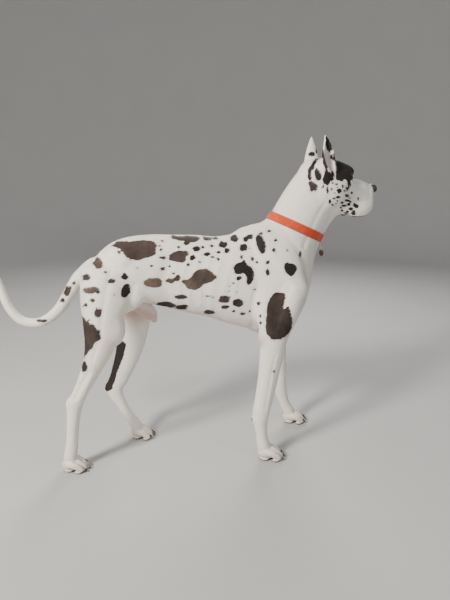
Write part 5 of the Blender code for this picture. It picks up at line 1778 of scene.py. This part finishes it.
def stitches(mat):
    """Two rows along the band's edges, and a row of short stitches across the band each side of the ring."""
    half = COLLAR_WIDTH / 2
    places = []
    count = 128
    for h in (-half + 0.0028, half - 0.0028):
        for i in range(count):
            places.append((2 * math.pi * (i + 0.5) / count, h, 0))
    for centre in (-0.16, 0.16):
        for k in range(6):
            places.append((centre, -0.0085 + 0.0034 * k, 1))
    bits = []
    turns = np.array([p[0] for p in places])
    below, above = neck_reach(-half, turns), neck_reach(half, turns)
    for (turn, h, across), under, over in zip(places, below, above):
        reach = under + (over - under) * (h / COLLAR_WIDTH + 0.5)
        out = COLLAR_THICKNESS - 0.0003
        if across:
            a, b = band_point(turn, h - 0.0013, out, reach), band_point(turn, h + 0.0013, out, reach)
        else:
            step = 0.0012 / (reach + out)
            a, b = band_point(turn - step, h, out, reach), band_point(turn + step, h, out, reach)
        middle = band_point(turn, h, out + 0.0003, reach)
        line = ((a, 0.00022), (0.5 * (a + middle), 0.00034), (middle, 0.0004))
        line += ((0.5 * (b + middle), 0.00034), (b, 0.00022))
        stations = [(*at, thick, thick) for at, thick in line]
        bits.append(swept(stations, 6, 5))
    return joined("collar_stitches", bits, mat)


def hoop(name, centre, normal, major, minor, mat):
    n = Vector(normal).normalized()
    a = n.orthogonal().normalized()
    b = n.cross(a)
    turns, sides = 72, 16
    points, faces = [], []
    for i in range(turns):
        t = 2 * math.pi * i / turns
        way = a * math.cos(t) + b * math.sin(t)
        for k in range(sides):
            f = 2 * math.pi * k / sides
            out = way * (major + minor * math.cos(f)) + n * minor * math.sin(f)
            points.append(np.array(Vector(centre) + out))
            j, m = (i + 1) % turns, (k + 1) % sides
            faces.append((i * sides + k, j * sides + k, j * sides + m, i * sides + m))
    return joined(name, [(points, faces)], mat)


def tag_disc(name, centre, normal, radius, thick, hole, hole_up, mat):
    """Round tag with a raised, rounded rim and a hole near its top."""
    n = Vector(normal).normalized()
    up = Vector((0, 0, 1))
    up = (up - n * up.dot(n)).normalized()
    side = n.cross(up)
    count = 96
    rows = [(0.0, 0.30), (0.03, 0.42), (0.35, 0.42), (0.80, 0.42), (0.84, 0.62)]
    rows += [(0.90, 0.76), (0.95, 0.76), (0.985, 0.62), (1.0, 0.40)]
    rows += [(s, -h) for s, h in reversed(rows)]
    points, rim = [], []
    for i in range(count):
        t = 2 * math.pi * i / count
        way = side * math.sin(t) + up * math.cos(t)
        outer = Vector(centre) + way * radius
        inner = Vector(centre) + up * hole_up + way * hole
        for share, height in rows:
            points.append(np.array(inner.lerp(outer, share) + n * height * thick))
            rim.append(1.0 if share > 0.82 else 0.0)
    faces, m = [], len(rows)
    for i in range(count):
        j = (i + 1) % count
        for k in range(m):
            faces.append((i * m + k, j * m + k, j * m + (k + 1) % m, i * m + (k + 1) % m))
    obj = joined(name, [(points, faces)], mat)
    carry(obj, "rim", rim)
    return obj


# ---- putting it together

points, normals, faces = skin_parts()
tree = BVHTree.FromPolygons(points.tolist(), faces.tolist())
patches = photo_patches(tree) + seeded_patches(points, normals)
mark, tone = marked(points, normals, patches)
bare, rose = bare_skin(points, normals)
heads = to_head(points)
on_neck = ramp(points[:, 0], 0.36, 0.50) * ramp(points[:, 2], 0.70, 0.80)
on_neck = on_neck * (1 - ramp(heads[:, 0], -0.03, 0.04))
on_leg = ramp(points[:, 2], 0.56, 0.45)
flecks = ramp(heads[:, 0], 0.14, 0.19) * (points[:, 2] > 0.85) * ramp(points[:, 2], 0.975, 0.90)
flecks = np.maximum(flecks, 0.5 * ramp(points[:, 2], 0.50, 0.40) * ramp(points[:, 2], 0.02, 0.10))
callus = np.linalg.norm(points - ELBOW_CALLUS, axis=1)
soil = 0.20 * ramp(points[:, 2], 0.10, 0.02) + 0.55 * np.exp(-((callus / 0.03) ** 2))
carried = {"mark": mark, "tone": tone, "flecks": flecks, "soil": soil, "bare": bare}
skin = add("skin", points - SHIFT, faces, coat_material("short_coat", False), normals)
for key, values in {**carried, "rose": rose, "slant": on_neck, "down": on_leg}.items():
    carry(skin, key, values)
flesh_nodes = ["head", "neck", "chest", "pelvis", "sheath", "tail_1", "tail_2", "tail_3"]
for side in ("right", "left"):
    for kind in ("ear", "thigh", "shank", "foreleg", "fore_paw", "hind_paw"):
        flesh_nodes.append(kind + "_" + side)
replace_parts(skin, *flesh_nodes)
grow(points, normals, faces, carried, coat_material("coat_tufts", True))

iris = eye_material()
for side, sign in (("right", -1.0), ("left", 1.0)):
    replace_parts(eye("eyeball_" + side, sign, iris), "eye_" + side)
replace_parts(nose_piece(leather_material()), "nose")
claws(claw_material())
pale_hair = Nodes("whisker_hair", Roughness=0.4)
uneven = pale_hair.spread(pale_hair.noise(400), 0.3, 0.7)
pale_hair.colour(pale_hair.mix(uneven, (0.60, 0.57, 0.52), (0.30, 0.27, 0.25)))
whiskers(tree, pale_hair.material)

web, thread, steel = web_material(), thread_material(), metal_material()
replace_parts(collar_band(web), "collar_band")
stitches(thread)
front = neck_reach(-COLLAR_WIDTH / 2, 0.0)[0] + COLLAR_THICKNESS
low = Vector(COLLAR_CENTRE) - COLLAR_AXIS * (COLLAR_WIDTH / 2) + COLLAR_AHEAD * front
ring = low + Vector((0.0030, 0.0, -0.0105))
link = ring + Vector((0.0026, 0.0, -0.0115))
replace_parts(hoop("lead_ring", ring, (1.0, 0.0, 0.30), 0.0090, 0.0012, steel), "collar_ring")
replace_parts(hoop("split_link", link, (0.0, 1.0, 0.0), 0.0055, 0.0008, steel), "tag_link")
hanging = link + Vector((0.0, 0.0, -0.0150))
disc = tag_disc("round_tag", hanging, (1.0, 0.30, 0.0), 0.0125, 0.0016, 0.0020, 0.0095, tag_material())
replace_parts(disc, "tag")


# ---- studio


def sweep_floor():
    """Round pale floor whose rim turns up into a backdrop on all sides."""
    turns = 96
    profile = [(4.6, 0.0)]
    profile += [(4.6 + 1.8 * math.sin(a), 1.8 - 1.8 * math.cos(a)) for a in np.linspace(0.1, math.pi / 2, 14)]
    profile.append((6.6, 6.4))
    points, faces = [(0.0, 0.0, 0.0)], []
    for k in range(turns):
        way = 2 * math.pi * k / turns
        points += [(r * math.cos(way), r * math.sin(way), z) for r, z in profile]
    for k in range(turns):
        here, there = 1 + k * len(profile), 1 + (k + 1) % turns * len(profile)
        faces.append((0, here, there))
        faces += [(here + i, here + i + 1, there + i + 1, there + i) for i in range(len(profile) - 1)]
    mesh = bpy.data.meshes.new("studio_floor")
    mesh.from_pydata(points, [], faces)
    mesh.shade_smooth()
    m = Nodes("studio_paper", Roughness=0.85, Specular_IOR_Level=0.2)
    m.colour(m.mix(m.noise(3.0, 2.0), (0.44, 0.435, 0.425), (0.47, 0.465, 0.455)))
    mesh.materials.append(m.material)
    obj = bpy.data.objects.new("studio_floor", mesh)
    bpy.context.scene.collection.objects.link(obj)


def lamp(name, place, aim, size, power, colour):
    light = bpy.data.lights.new(name, "AREA")
    light.shape, light.size, light.energy, light.color = "DISK", size, power, colour
    obj = bpy.data.objects.new(name, light)
    obj.location = place
    obj.rotation_euler = (Vector(aim) - Vector(place)).to_track_quat("-Z", "Y").to_euler()
    bpy.context.scene.collection.objects.link(obj)


sweep_floor()
lamp("key", (-2.4, -1.9, 2.5), (0.0, 0.0, 0.6), 0.8, 235, (1.0, 0.95, 0.87))
lamp("fill", (2.2, -2.6, 1.7), (0.1, 0.0, 0.6), 2.4, 24, (0.93, 0.96, 1.0))
lamp("back", (0.9, 2.4, 2.6), (0.0, 0.0, 0.7), 1.6, 85, (1.0, 0.97, 0.93))
world = bpy.data.worlds.new("studio")
world.use_nodes = True
world.node_tree.nodes["Background"].inputs[0].default_value = (0.86, 0.90, 0.96, 1.0)
world.node_tree.nodes["Background"].inputs[1].default_value = 0.48
bpy.context.scene.world = world

lens = bpy.data.cameras.new("camera")
lens.lens, lens.sensor_width, lens.sensor_fit = 28.8, 36.0, "AUTO"
lens.clip_start, lens.clip_end = 0.05, 60.0
camera = bpy.data.objects.new("camera", lens)
camera.location = tuple(CAMERA)
camera.rotation_euler = Vector(LOOK).to_track_quat("-Z", "Y").to_euler()
bpy.context.scene.collection.objects.link(camera)
bpy.context.scene.camera = camera
